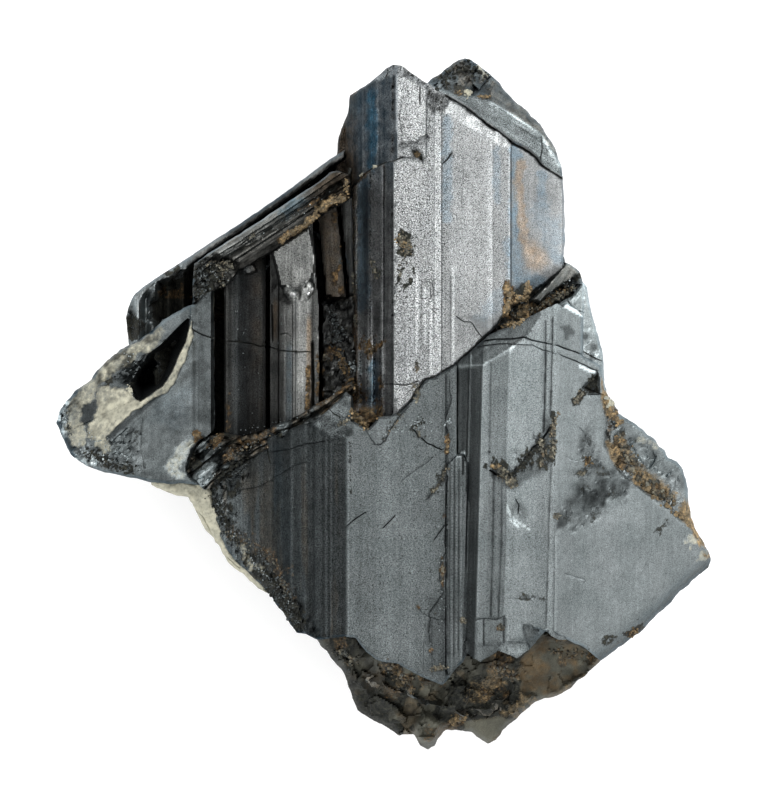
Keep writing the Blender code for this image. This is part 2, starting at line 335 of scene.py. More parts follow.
class Relief:
    """A closed piece in the making. Its front is sampled at the points x, y."""

    def __init__(self, name, outline, dx=1.3, dy=3.0, lines=(), slope=0.0, cracks=(), sway=0.6,
                 creases=(), seed=1):
        self.name, self.seed = name, seed
        self.cracks = [Crack(*row) for row in cracks]
        edge = wandering(outline, sway, seed, EDGE_PACE, True)
        rails = [rail for crack in self.cracks for rail in crack.rails()]
        rails += [wandering(crease, 0.2, seed, EDGE_PACE) for crease in creases]
        corners, self.faces = triangles(*grid(edge, dx, dy, lines, slope), edge, rails)
        self.x, self.y = corners[:, 0], corners[:, 1]
        self.spot = plane(self.x * UNIT, self.y * UNIT)
        self.rim = boundary(self.faces)
        self.away = self.off(np.concatenate([edge, edge[:1]]), 20.0)
        self.masks = {c: np.full(self.x.shape, STARTS.get(c, 0.0)) for c in CHANNELS}
        self.cut = np.zeros(self.x.shape)
        self.crack_shade = np.ones(self.x.shape)
        # Each crack is cut in and painted as shade; the darkest are also stained with black dirt.
        for crack in self.cracks:
            share = crack.share(self.x, self.y, self.spot)
            self.cut += crack.depth * share
            self.crack_shade *= 1 - CRACK_SHADE * crack.dirt * share
            if crack.dirt >= 1:
                self.stain("dirt", crack.dirt * share)

    # Patterns on the front.

    def cloud(self, size, seed, octaves=4):
        return fractal(self.spot, size, seed, octaves)

    def chips(self, size, seed):
        return chips(self.spot, size, seed)

    def clumps(self, size, seed, low, high):
        """1 where a cloud is above high and 0 where it is below low."""
        return ramp(self.cloud(size, seed), low, high)

    def striae(self, seed, pitch=3.0, step=0.03, drift=260.0):
        """Growth lines: many low steps across x that fade in and out along y."""
        total = np.zeros(self.x.shape)
        for octave, (size, height) in enumerate(((2.3, 1.0), (1.0, 0.7), (0.45, 0.45))):
            p = np.stack([self.x / (pitch * size), self.y / (drift * size),
                          np.full(self.x.shape, 0.5)], axis=-1)
            bands = noise(p, 1.0, seed + octave)
            total = total + height * np.round(bands * 3) / 3
        return step * total

    def off(self, line, far=40.0):
        """Distance from a line."""
        return reach(self.x, self.y, line, far)

    def into(self, corners):
        """Distance inside an outline."""
        return depth_in(self.x, self.y, corners)

    def line(self, points, low, high):
        """1 within low of a line and 0 beyond high."""
        return 1 - ramp(self.off(points), low, high)

    def streak(self, line, width, seed=7, rough=0.5):
        """1 along a line and 0 away from it, with a ragged edge."""
        gap = self.off(line) + rough * width * self.cloud(0.35, seed)
        return 1 - ramp(gap, 0.35 * width, width)

    def patch(self, corners, soft=4.0, rough=3.0, seed=5):
        """1 well inside an outline and 0 well outside it, with a ragged edge."""
        return ramp(self.into(corners) + rough * self.cloud(0.6, seed), -soft / 2, soft / 2)

    def spots(self, places, radius):
        """1 at each place and 0 beyond the radius."""
        uneven = 1 + 0.45 * self.cloud(0.45, 13, 3)
        away = np.min([np.hypot(self.x - px, self.y - py) for px, py in places], axis=0)
        return 1 - ramp(away * uneven, 0.4 * radius, radius)

    # Changes to the channels.

    def look(self, **channels):
        """Sets channels all over the front."""
        for channel, amount in channels.items():
            self.masks[channel] = np.zeros(self.x.shape) + amount

    def shade(self, factor):
        self.masks["tone"] = self.masks["tone"] * factor

    def stain(self, channel, amount):
        """Lays a stain over what is already there."""
        self.masks[channel] = np.maximum(self.masks[channel], np.clip(amount, 0, 1))

    def streaks(self, *rows):
        """Stains along lines: channel, amount, line, width, seed and roughness."""
        for channel, amount, *streak in rows:
            self.stain(channel, amount * self.streak(*streak))

    def blots(self, *rows):
        """Round stains: channel, amount, places and radius."""
        for channel, amount, places, radius in rows:
            self.stain(channel, amount * self.spots(places, radius))

    def clouds(self, *rows):
        """Stains in clumps: channel, amount where it may lie, size, seed, low and high."""
        for channel, amount, *clumps in rows:
            self.stain(channel, amount * self.clumps(*clumps))

    # The sides and the back.

    def side(self, brim, middle, t, root, taper, bites, layers):
        """The ring at the share t of the way down from the brim to the root."""
        out = outward(brim, middle)
        ring = drawn_in(brim, middle, 1 - taper * t)
        ring[:, 2] = brim[:, 2] * (1 - t) + root * t
        bite = 0.8 * chips(ring, 3.0, self.seed) + 0.5 * fractal(ring, 1.4, self.seed + 9)
        bite = 0.5 + 0.5 * np.clip(bite, -1, 1)
        strata = ring * np.array([0.25, 0.05, 1.0])
        layer = 0.5 + 0.5 * np.round(2.5 * fractal(strata, 1.1, self.seed + 70, 2)) / 2.5
        across = np.abs(out[:, 0]) ** 1.5
        grow = min(1.0, t * (brim[:, 2].max() - root) / 1.2)
        inset = grow * (bites * bite * (1 - 0.6 * across) + layers * layer * across)
        ring[:, :2] -= out * inset[:, None]
        return ring

    def side_values(self, points, source, depth, sides):
        """The channels at all points: those of the front at their source, or of the sides."""
        below = ramp(depth, 0.0, 0.5)
        mottle = 0.5 + 0.5 * np.clip(fractal(points, 2.2, self.seed + 30), -1, 1)
        values = {}
        for channel in CHANNELS:
            amount = sides.get(channel, STARTS.get(channel, 0.0))
            if channel == "tone":
                amount = amount * (0.75 + 0.5 * mottle)
            elif channel != "speck":
                amount = amount * 1.6 * mottle
            values[channel] = blend(self.masks[channel][source], amount, below)
        return values

    def close(self, z, material, sides, root=8.0, taper=0.12, bites=0.5, layers=0.25, centre=None,
              edge=0.4, edge_width=3.0, depths=SIDE_DEPTHS):
        """Adds the sides and the back to the front, whose height is z."""
        # The cracks' painted shade.
        self.shade(self.crack_shade)
        z = z - self.cut - edge * (1 - np.clip(self.away / edge_width, 0, 1)) ** 2
        front = at(self.x, self.y, z)
        brim = front[self.rim]
        middle = np.array(centre or brim.mean(axis=0)[:2], float)
        span = brim[:, 2].max() - root
        rings = [self.side(brim, middle, t, root, taper, bites, layers) for t in depths]
        last = rings[-1]
        rings += [drawn_in(last, middle, share) for share in (0.66, 0.33)]
        points = np.concatenate([front, *rings, [[*middle, last[:, 2].mean()]]])

        count = len(self.rim)
        before = self.rim
        faces = list(self.faces)
        for start in range(len(front), len(points) - 1, count):
            now = start + np.arange(count)
            quads = np.stack([before, now, np.roll(now, -1), np.roll(before, -1)], axis=-1)
            faces += quads.tolist()
            before = now
        fan = np.stack([before, np.full(count, len(points) - 1), np.roll(before, -1)], axis=-1)
        faces += fan.tolist()

        source = np.concatenate([np.arange(len(front)), *[self.rim] * len(rings), self.rim[:1]])
        shares = np.repeat([*depths, 1, 1], count)
        depth = np.concatenate([np.zeros(len(front)), shares, [1]]) * span
        values = self.side_values(points, source, depth, sides)
        make_piece(self.name, points, faces, values, material)


# ---------------------------------------------------------------- materials

class Nodes:
    """Short names for building a node tree."""

    def __init__(self, material):
        material.use_nodes = True
        self.tree = material.node_tree
        self.tree.nodes.clear()
        self.place = self.add("ShaderNodeTexCoord").outputs["Object"]

    def add(self, kind, **settings):
        node = self.tree.nodes.new(kind)
        for key, value in settings.items():
            setattr(node, key, value)
        return node

    def feed(self, socket, value):
        """Links a socket, a number or a colour to an input."""
        if isinstance(value, bpy.types.NodeSocket):
            self.tree.links.new(value, socket)
        elif isinstance(value, tuple) and len(value) == 3 and socket.type == "RGBA":
            socket.default_value = (*value, 1.0)
        else:
            socket.default_value = value

    def node(self, kind, out, inputs, **settings):
        """One output of a new node with these inputs."""
        node = self.add(kind, **settings)
        for name, value in inputs.items():
            self.feed(node.inputs[name], value)
        return node.outputs[out]

    def attribute(self, name):
        return self.add("ShaderNodeAttribute", attribute_name=name).outputs["Fac"]

    def drawn_out(self, turn, ratio):
        """Places squeezed along the growth direction, which is turned this far from +Y."""
        inputs = {"Vector": self.place, "Rotation": (0, 0, math.radians(turn)), "Scale": (1, ratio, 1)}
        return self.node("ShaderNodeMapping", 0, inputs, vector_type="TEXTURE")

    def cloud(self, size, detail, vector=None, roughness=0.55):
        """Noise from 0 to 1 with features of this size in mm."""
        inputs = {"Vector": vector or self.place, "Scale": 1 / (size * MM), "Detail": detail,
                  "Roughness": roughness}
        return self.node("ShaderNodeTexNoise", "Fac", inputs)

    def cells(self, size):
        """Distance from the middle of the nearest cell."""
        inputs = {"Vector": self.place, "Scale": 1 / (size * MM)}
        return self.node("ShaderNodeTexVoronoi", "Distance", inputs)

    def spread(self, value, low, high, to_low=0.0, to_high=1.0):
        inputs = {"Value": value, "From Min": low, "From Max": high, "To Min": to_low,
                  "To Max": to_high}
        return self.node("ShaderNodeMapRange", "Result", inputs, clamp=True)

    def maths(self, operation, a, b, clamp=False):
        return self.node("ShaderNodeMath", 0, {0: a, 1: b}, operation=operation, use_clamp=clamp)

    def times(self, a, b, clamp=False):
        return self.maths("MULTIPLY", a, b, clamp)

    def plus(self, a, b):
        return self.maths("ADD", a, b)

    def colours(self, value, *stops):
        """A colour ramp through (position, colour) stops."""
        node = self.add("ShaderNodeValToRGB")
        elements = node.color_ramp.elements
        while len(elements) < len(stops):
            elements.new(0.5)
        for element, (position, colour) in zip(elements, stops):
            element.position = position
            element.color = (*colour, 1.0)
        self.feed(node.inputs["Fac"], value)
        return node.outputs["Color"]

    def mix(self, share, a, b, blend_type="MIX"):
        inputs = {"Factor": share, 6: a, 7: b}
        return self.node("ShaderNodeMix", 2, inputs, data_type="RGBA", blend_type=blend_type)

    def tint(self, colour, by):
        return self.mix(1.0, colour, by, "MULTIPLY")

    def grey(self, value):
        return self.node("ShaderNodeCombineColor", 0, {0: value, 1: value, 2: value})

    def ragged(self, name, edge, softness):
        """A stain channel with its edge broken up by noise."""
        stain = self.attribute(name)
        uneven = self.spread(self.plus(stain, edge), 0.5 - softness, 0.5 + softness)
        return self.times(uneven, self.spread(stain, 0.05, 0.25))


# A glaze: its channel, and what it multiplies the colour by.
GLAZES = (("blue", (0.35, 0.82, 1.20)), ("warm", (1.38, 0.96, 0.62)))

# A coat: its channel, how soft its edge is, the noise that colours it, and its colours.
COATS = (
    ("dirt", 0.12, "clump", (0.32, (0.004, 0.004, 0.004)), (0.52, (0.016, 0.016, 0.012)),
     (0.72, (0.055, 0.053, 0.040))),
    ("rust", 0.22, "grit", (0.38, (0.010, 0.008, 0.005)), (0.53, (0.070, 0.045, 0.021)),
     (0.70, (0.40, 0.25, 0.115))),
    ("crust", 0.4, "paste", (0.30, (0.29, 0.285, 0.225)), (0.50, (0.37, 0.36, 0.285)),
     (0.68, (0.48, 0.46, 0.355))),
    ("gold", 0.30, "grit", (0.34, (0.035, 0.028, 0.018)), (0.50, (0.15, 0.115, 0.068)),
     (0.66, (0.43, 0.30, 0.15))),
)


def metal_colour(n, low, high, speck, lines, fine, growth):
    """Tarnished metal between two colours, with painted sparkle, painted shade in pits, and growth lines.
    """
    base = n.colours(n.cloud(2.2, 5.0), (0.3, low), (0.7, high))
    # Painted sparkle: fine noise and small cells lighten and darken the colour, and pits darken it.
    sparkle = n.times(n.spread(fine, 0.35, 0.65, -0.8, 0.9), speck)
    grain = n.times(n.spread(n.cells(0.085), 0.0, 0.7, 0.5, -0.5), speck)
    pits = n.times(n.spread(n.cells(0.16), 0.12, 0.27, 0.75, 0.0), speck)
    tone = n.maths("SUBTRACT", n.plus(n.plus(sparkle, grain), 1.0), pits)
    bands = n.spread(growth, 0.3, 0.7, 1 - lines, 1 + lines)
    tone = n.times(n.times(tone, n.attribute("tone")), bands)
    return n.tint(base, n.grey(n.maths("MAXIMUM", tone, 0.02)))


def coated(n, colour, clump):
    """The colour under its glazes, coats, and soot and painted shade, and the share that coats cover."""
    uneven = n.spread(n.cloud(0.5, 4.0), 0.3, 0.7, 0.5, 1.15)
    for channel, by in GLAZES:
        share = n.times(n.attribute(channel), uneven, True)
        colour = n.mix(share, colour, n.tint(colour, by))
    edge = n.spread(clump, 0.25, 0.75, -0.4, 0.4)
    noises = {"clump": clump, "grit": n.cloud(0.34, 6.0, roughness=0.78),
              "paste": n.cloud(0.6, 6.0, roughness=0.70)}
    covered = None
    for channel, softness, source, *stops in COATS:
        share = n.ragged(channel, edge, softness)
        colour = n.mix(share, colour, n.colours(noises[source], *stops))
        covered = n.maths("MAXIMUM", covered, share) if covered else share
    # Soot and painted shade darken the colour towards black.
    clean = n.spread(n.attribute("soot_and_shade"), 0.0, 1.0, 1.0, 0.05)
    return n.tint(colour, n.grey(clean)), covered


def mineral(name, low, high, speckle, lines, turn=0.0, roughness=0.42, metal=1.0):
    """Tarnished metal with growth lines, over which the channels lay stains and crusts."""
    material = bpy.data.materials.new(name)
    n = Nodes(material)
    fine = n.cloud(0.065, 3.0, roughness=0.8)
    growth = n.cloud(0.20, 4.0, n.drawn_out(turn, 30.0), roughness=0.6)
    clump = n.cloud(0.30, 5.0, roughness=0.7)
    speck = n.times(n.attribute("speck"), speckle)
    colour = metal_colour(n, low, high, speck, lines, fine, growth)
    colour, covered = coated(n, colour, clump)

    gloss = n.spread(n.cloud(0.30, 4.0), 0.3, 0.7, roughness - 0.07, roughness + 0.10)
    height = n.plus(n.times(n.times(fine, speck), 0.05), n.times(growth, 0.018))
    height = n.plus(height, n.times(n.times(clump, covered), 0.09))
    bump = {"Strength": 1.0, "Distance": MM, "Height": height}
    shader = n.node("ShaderNodeBsdfPrincipled", 0, {
        "Base Color": colour,
        "Metallic": n.times(n.maths("SUBTRACT", 1.0, covered, True), metal),
        "Roughness": n.maths("MAXIMUM", gloss, n.times(covered, 0.8)),
        "Specular IOR Level": 0.3,
        "Specular Tint": (0.45, 0.52, 0.58),
        "Normal": n.node("ShaderNodeBump", "Normal", bump),
    })
    n.feed(n.add("ShaderNodeOutputMaterial").inputs["Surface"], shader)
    return material


# The upper crystal's metal is a painted lit copy of the lead grey, and the metal of the rear crystal and
# the recessed columns a painted shaded copy, partly darker tarnish.
LIT_SILVER = mineral("lit_silver", (0.320, 0.335, 0.338), (0.375, 0.388, 0.388), 1.15, 0.10,
                 roughness=0.46)
GREY = mineral("lead_grey", (0.122, 0.139, 0.141), (0.162, 0.179, 0.182), 0.9, 0.12)
SLANTED = mineral("slanted_grey", (0.130, 0.136, 0.132), (0.185, 0.190, 0.180), 0.8, 0.35, -56.0)
SHADED_TARNISH = mineral("shaded_tarnish", (0.031, 0.032, 0.031), (0.049, 0.050, 0.048), 0.8, 0.35)
ROCK = mineral("dark_matrix", (0.014, 0.014, 0.011), (0.040, 0.039, 0.030), 0.9, 0.05,
               roughness=0.6, metal=0.3)


# ---------------------------------------------------------------- the upper crystal

UPPER_OUTLINE = [
    (350, 95), (361, 88), (373, 80), (384, 70), (393, 64), (402, 66), (412, 73), (419, 78), (427, 83),
    (434, 88), (443, 93), (452, 96), (462, 102), (471, 108), (479, 115), (488, 122), (498, 129), (515, 141),
    (528, 148), (536, 155), (542, 162), (550, 169), (563, 176), (564, 200), (565, 240), (563, 262),
    (566, 267), (545, 284), (530, 295), (512, 307), (503, 317), (497, 326), (490, 333), (480, 342),
    (470, 352), (455, 364), (445, 371), (436, 377), (425, 380), (417, 390), (412, 400), (400, 411),
    (391, 417), (386, 420), (378, 416), (366, 428), (350, 426), (336, 415), (322, 398), (322, 300),
    (336, 250), (335, 205), (336, 160), (338, 137), (343, 125), (348, 112),
]
UPPER_FACE = [
    (322, 12.6), (336, 12.8), (345, 13.2), (350, 13.9), (356, 15.3), (357.5, 15.3), (358.3, 16.1),
    (361, 16.6), (368.5, 18.5), (369.3, 19), (370.6, 18.9), (374, 19.4), (382.3, 21), (383.2, 21.4),
    (384.2, 21.2), (388, 22.2), (393, 23.3), (394.2, 23.7), (396, 23.75), (427, 23.75), (434, 23.78),
    (434.8, 23.86), (441, 23.87), (442.3, 23.76), (463, 23.7), (463.8, 23.67), (492.5, 23.6),
    (493.5, 23.54), (497, 23.51), (509, 23.47), (510.2, 23.45), (511.6, 23.2), (518, 23.13), (535, 22.95),
    (536, 22.91), (562, 22.7), (566, 22.4),
]
CHUNK_FACE = [
    (336, 12.9), (345, 13.2), (350, 14.4), (361.5, 17.1), (364, 17.65), (367, 18.2), (376, 19.9),
    (378.6, 20.4), (393, 23), (396, 23.5), (398, 23.95), (402, 24.02), (426, 24.02), (427.3, 23.76),
    (434, 23.78), (434.8, 23.86), (441, 23.87), (442.3, 23.76), (566, 22.4),
]
# Painted shade on the side left of x 393, which faces away from the light, and painted highlights on the
# steps at x 394, 435, 440.5, 492 and 509.4.
UPPER_TONES = [
    (322, 0.1), (345, 0.12), (350, 0.2), (356, 0.15), (358, 0.2), (361, 0.17), (364, 0.1), (367, 0.1),
    (369.3, 0.24), (370.6, 0.13), (381, 0.13), (382.3, 0.24), (383.2, 0.26), (384.2, 0.12), (387, 0.08),
    (391, 0.085), (392.6, 0.02), (393.3, 0.12), (394.2, 1.45), (397, 1.12), (404, 1.08), (427, 1.02),
    (430, 1.1), (434, 1.1), (434.8, 1.5), (436, 1.25), (439, 1.25), (440.5, 1.5), (441.6, 0.8), (444, 0.72),
    (463, 0.78), (486, 0.8), (489, 0.98), (492, 1.15), (493.5, 0.68), (508, 0.76), (509.4, 1.3),
    (511.2, 0.44), (525, 0.47), (537, 0.54), (550, 0.58), (557, 0.66), (565, 0.85),
]
SHADED_SIDE = [(150, 1), (172, 2.45), (240, 2.15), (290, 2.8), (340, 3), (400, 2.6)]
UPPER_FALL = 0.0054  # mm down for each view unit towards the tips
CHUNK_STEP = [(336, 208), (345, 197), (355, 183), (372, 169), (385, 163), (403, 157)]
CHUNK_FACET = [(396, 74), (412, 82), (427, 91), (427, 135), (419, 142), (410, 138), (402, 141), (396, 130)]
TOP_ROOF = [
    (345, 99), (372, 82), (390, 77), (397, 73), (412, 81), (427, 90), (434, 88), (419, 76), (402, 62),
    (393, 60), (380, 68), (345, 90),
]
TOP_BEVEL = [(443, 111), (450, 99), (462, 105), (480, 118), (513, 143), (510, 151)]
BEVEL_FOOT = [(443, 111), (510, 151)]
ROUGH_SHOULDER = [(428, 90), (440, 94), (446, 101), (443, 107), (434, 113), (428, 106)]
DULL_CORNER = [(455, 314), (470, 320), (483, 338), (455, 364), (500, 336), (508, 306), (496, 318)]
# Painted highlights along ridges of the face, and their strength.
HIGHLIGHT_LINES = [
    ([(417, 275), (417, 352)], 0.45), ([(425.5, 288), (425.5, 345)], 0.4),
    ([(431.5, 300), (431.5, 376)], 0.8), ([(438, 300), (438, 345)], 0.3), ([(453, 268), (453, 366)], 0.5),
    ([(408, 300), (408, 380)], 0.3), ([(404, 330), (404, 378)], 0.2), ([(443.5, 280), (443.5, 340)], 0.25),
]
LOW_STRIPES = [(356, 1), (358, 1.8), (361, 1), (371, 1), (372, 2.4), (373, 0.8), (376, 0.45),
               (380, 0.5), (382, 1.2), (385, 1.6), (388, 1.2), (391, 0.9), (392, 1)]
HIGH_STRIPES = [(357, 1), (359, 0.62), (368, 0.66), (370, 1), (383, 1), (384.5, 1.4), (391, 1.4),
                (392, 1)]
FLUTE_TONES = [(350, 0.8), (358, 1), (360, 0.4), (366, 0.7), (368, 1.6), (374, 1.6), (376, 0.4),
               (384, 0.2)]
RAW_CORNER = [(506, 290), (530, 279), (548, 268), (563, 261), (568, 268), (540, 294), (512, 314),
              (501, 320)]
SALMON_LINE = [(521, 163), (519, 180), (520, 200), (522, 222), (525, 240)]
SALMON_POOL = [(522, 243), (531, 240), (546, 250), (548, 262), (540, 271), (526, 268)]
UPPER_BLUES = [
    ([(372, 92), (372.5, 130), (372, 165)], 7, 1.0), ([(356, 95), (356, 112)], 6, 0.4),
    ([(362, 184), (363, 240), (362, 305)], 9, 0.5), ([(447, 118), (447, 218)], 7, 0.26),
    ([(516, 148), (517, 235)], 8, 0.42), ([(541, 174), (541, 204)], 7, 0.3),
    ([(514, 245), (518, 280), (540, 284)], 12, 0.36), ([(374, 365), (374, 410)], 7, 0.6),
    ([(545, 250), (558, 258)], 10, 0.25), ([(484, 318), (500, 296)], 12, 0.15),
    ([(496, 150), (497, 200)], 5, 0.22), ([(540, 210), (556, 240)], 16, 0.2),
]
UPPER_CRACKS = [
    ([(446, 96), (462, 104.5), (471, 111), (479, 118), (488, 125), (498, 132), (515, 144), (528, 151),
      (535, 157), (542, 166), (551, 172), (563, 179)], 1.9, 0.6, 1),
    ([(403, 157), (395, 160), (385, 163), (372, 169), (355, 183), (345, 197), (336, 207)], 1.3, 0.35, 0.8),
    ([(343, 213), (345, 240), (347, 268), (350, 303)], 1.8, 1.5, 1.2),
    ([(442, 164), (447, 160), (451, 154)], 1.2, 0.25, 0.5),
    ([(463, 165), (463, 182), (461, 196), (462, 209)], 0.8, 0.05, 0.8, 0.4),
    ([(420, 87), (420, 103)], 1.1, 0.3, 0.3),
    ([(377, 385), (393, 384), (404, 385), (412, 384), (418, 381)], 1, 0.25, 0.8, 0.6),
    ([(414.5, 290), (414.5, 360)], 0.8, 0.05, 0.3, 0.4),
    ([(421.5, 284), (421.5, 350)], 0.8, 0.05, 0.3, 0.45),
    ([(428.5, 312), (428.5, 372)], 0.9, 0.05, 0.3, 0.5), ([(435, 346), (435, 378)], 0.8, 0.05, 0.3, 0.45),
    ([(450.5, 276), (450.5, 362)], 0.8, 0.05, 0.3, 0.45),
    ([(456, 316), (464, 322), (471, 322), (476, 329), (483, 338)], 0.8, 0.15, 0.8, 0.7),
    ([(426, 281), (432, 283), (434, 296)], 0.7, 0.1, 0.3, 0.7),
    ([(430, 286), (431, 298)], 0.7, 0.1, 0.3, 0.7), ([(421, 299), (427, 298)], 0.7, 0.1),
    ([(430, 308), (436, 313)], 0.8, 0.15, 0.3, 0.9),
    ([(401, 104), (399, 118), (402, 128), (401, 140), (404, 150)], 0.8, 0.1, 1.2, 0.6),
]


def upper_zones(piece, x, y):
    """The parts of the upper crystal that differ from its faces, as masks."""
    fill = ramp(y, 402, 411) * ramp(x, 387, 381) * ramp(x, 344, 352)
    flutes = [(350, 352), (378, 330), (384, 345), (384, 412), (350, 412)]
    return SimpleNamespace(
        chunk=(y < along(x, CHUNK_STEP)) * (x < 427) * 1.0,
        face=ramp(x, 391, 396),
        roof=piece.into(TOP_ROOF),
        facet=ramp(piece.into(CHUNK_FACET), -1, 1),
        bevel=piece.into(TOP_BEVEL) > 0,
        shoulder=piece.patch(ROUGH_SHOULDER, 3, 2),
        ledge=piece.streak([(402, 146), (412, 146), (421, 141), (427, 137)], 3.5, 25),
        pit=piece.patch([(412, 149), (418, 150), (424, 155), (423, 162), (414, 159)], 3, 1),
        fill=fill,
        rubble=ramp(x, 362, 352) * ramp(y, 292, 308) * (1 - fill),
        flutes=piece.patch(flutes, 4, 2),
        dull=piece.patch(DULL_CORNER, 8, 2) * ramp(x, 453, 456),
    )


def upper_height(piece, x, y, zone):
    z = blend(along(x, UPPER_FACE), along(x, CHUNK_FACE), zone.chunk)
    z += UPPER_FALL * (y - 415)
    z += piece.striae(22, 2.6, 0.04) * (1 - 0.8 * zone.face)
    z += 0.012 * piece.cloud(0.25, 23, 3) * zone.face
    z -= 0.13 * np.clip(zone.roof, 0, 12)
    z -= 0.035 * piece.off(BEVEL_FOOT) * zone.bevel
    z += zone.shoulder * (0.25 * piece.chips(0.35, 24) - 0.1)
    z += (zone.roof > 0) * 0.28 * piece.chips(0.35, 40)
    z -= 0.25 * zone.ledge + 0.5 * zone.pit
    z = blend(z, 21.0 + 0.4 * piece.chips(0.5, 45), zone.fill)
    z += zone.rubble * (0.7 * piece.chips(1.1, 26) + 0.3 * piece.chips(0.5, 27) - 0.1)
    z += zone.flutes * (0.35 * np.sin(x * 0.95) + 0.2 * piece.chips(0.7, 28))
    notch = np.exp(-(((x - 394) / 2.2) ** 2)) * np.clip(piece.cloud(0.5, 29) - 0.15, 0, 1)
    return z - 0.8 * notch


def dark_side_tone(piece, x, y, tone, lines, zone):
    """The tone with painted shade on the side that faces away from the light, its lit strip and stripes,
    and the chunk's lit face and shaded side.
    """
    mottle = piece.cloud(0.35, 44)
    side = along(x, [(336, 0.08), (366, 0.085), (370, 0.1), (378, 0.125), (393, 0.115)])
    side = 1.42 * side * (1 + 0.6 * lines + 0.25 * mottle) + 0.22 * bars(x, (363, 377.3), 1.0)
    tone = np.where((zone.chunk > 0) & (x < 397.2), side, tone)
    bright = (zone.chunk > 0) & (x > 397.2) & (x < 427)
    tone = np.where(bright, 1.05 * (1 + 0.06 * lines), tone)
    strip = ramp(x, 366, 361) * ramp(y, 176, 184) * ramp(y, 300, 275)
    tone *= 1 + 1.3 * strip * (1 - zone.chunk)
    tone *= 1 + 5 * ramp(x, 357.5, 355) * ramp(y, 305, 270) * ramp(y, 185, 205)
    tone *= 1 + (along(x, LOW_STRIPES) - 1) * ramp(y, 298, 310)
    tone *= 1 + (1 - zone.face) * (0.32 * mottle + 0.24 * lines)
    tone *= 1 + (along(x, HIGH_STRIPES) - 1) * ramp(y, 178, 190) * ramp(y, 325, 305)
    return tone * (1 - 0.42 * ramp(y, 262, 278) * ramp(y, 335, 320) * bars(x, (376.5,), 6))


def upper_tone(piece, x, y, zone, salmon):
    lines = piece.striae(39, 1.5, 1.0, 70)
    tone = along(x, UPPER_TONES)
    tone *= 1 + (along(y, SHADED_SIDE) - 1) * ramp(x, 354, 359) * (x < 393.5)
    for line, gain in HIGHLIGHT_LINES:
        tone += 1.6 * gain * piece.line(line, 0.4, 1.8)
    tone *= 1 + lines * (0.08 + 0.16 * ramp(y, 255, 310) * ramp(x, 465, 450))
    tone = dark_side_tone(piece, x, y, tone, lines, zone)
    tone *= 1 - 0.14 * ramp(y, 285, 340) * zone.face
    tone = blend(tone, 1.28, zone.facet)
    # The bevel is painted bright: a painted highlight on the slope that faces the light.
    tone = np.where(zone.bevel, 1.28 + 0.3 * lines + 0.5 * piece.cloud(0.3, 43), tone)
    tone *= 1 - 0.45 * zone.dull
    roof = (0.50 + 0.15 * (x > 397)) * (1 + 0.7 * piece.cloud(0.35, 41))
    tone = np.where(zone.roof > 0, roof, tone)
    tone = blend(tone, 0.55 + 0.5 * piece.chips(0.45, 24), zone.shoulder)
    tone *= (1 - 0.25 * zone.ledge) * (1 - 0.35 * zone.rubble)
    tone *= 1 + zone.flutes * along(x, FLUTE_TONES)
    tone *= 1 + 0.10 * piece.cloud(1.6, 30)
    tone *= 1 - 0.12 * salmon
    for line, width in (([(519, 194), (520, 212), (522, 230)], 2.2),
                        ([(526, 246), (529, 256), (538, 261), (545, 257)], 4.0)):
        tone *= 1 + 0.30 * piece.streak(line, width, 53, 0.4)
    return tone * (1 - 0.55 * piece.patch(RAW_CORNER, 9, 3, 54))


def upper_stains(piece, x, zone, salmon):
    for line, width, amount in UPPER_BLUES:
        piece.stain("blue", amount * piece.streak(line, width, 31, 0.35))
    piece.masks["blue"] *= 1 - np.clip(1.6 * salmon, 0, 1)
    piece.stain("warm", salmon)
    piece.stain("warm", 0.8 * (1 - ramp(x, 355, 359)))
    for line, width in (([(507, 284), (510, 297), (506, 314)], 4.5),
                        ([(513, 298), (521, 306), (527, 296), (529, 285)], 5.0)):
        soot_and_shade = 0.5 * piece.streak(line, width, 62, 0.5)
        piece.streaks(("rust", 0.85, line, width, 56, 0.8), ("gold", 0.95, line, 0.8 * width, 57, 0.9))
        piece.clouds(("soot_and_shade", soot_and_shade, 0.32, 63, 0.05, 0.3))
    piece.streaks(
        ("rust", 0.6, [(357, 182), (372, 170), (384, 164)], 2.5, 42, 1.0),
        ("rust", 0.85, [(364, 341), (368, 350), (376, 350), (382, 345)], 5, 60, 1.0),
        ("rust", 0.75, [(354, 382), (356, 392)], 5, 61, 1.0),
    )
    scab = piece.patch([(395, 254), (412, 258), (420, 280), (408, 298), (395, 292)], 6, 3, 58)
    piece.clouds(
        ("dirt", 0.75 * scab, 0.28, 59, 0.15, 0.4),
        ("dirt", 0.8 * zone.rubble, 1.3, 37, 0.0, 0.5),
        ("dirt", 0.8 * zone.shoulder, 0.3, 38, 0.35, 0.6),
        ("rust", 0.62 * zone.flutes, 0.9, 35, 0.3, 0.6),
        ("rust", 0.8 * zone.rubble, 1.0, 36, 0.2, 0.6),
        ("rust", 0.85 * zone.fill, 0.7, 46, -0.5, 0.0),
        ("gold", 0.7 * zone.fill, 0.5, 47, 0.0, 0.4),
    )
    corner = [(500, 320), (505, 284), (513, 292), (524, 282), (536, 290), (512, 314)]
    piece.stain("dirt", 0.72 * piece.patch(corner, 5, 3, 55))
    pocks = 0.9 * piece.spots([(404, 241), (405, 251)], 12) + 0.6 * piece.spots([(376, 272)], 9)
    piece.stain("dirt", pocks)
    piece.stain("dirt", 0.8 * zone.pit)
    # Painted shade along the long top crack.
    piece.stain("soot_and_shade", 0.85 * piece.line(piece.cracks[0].chain, 0.5, 1.7))


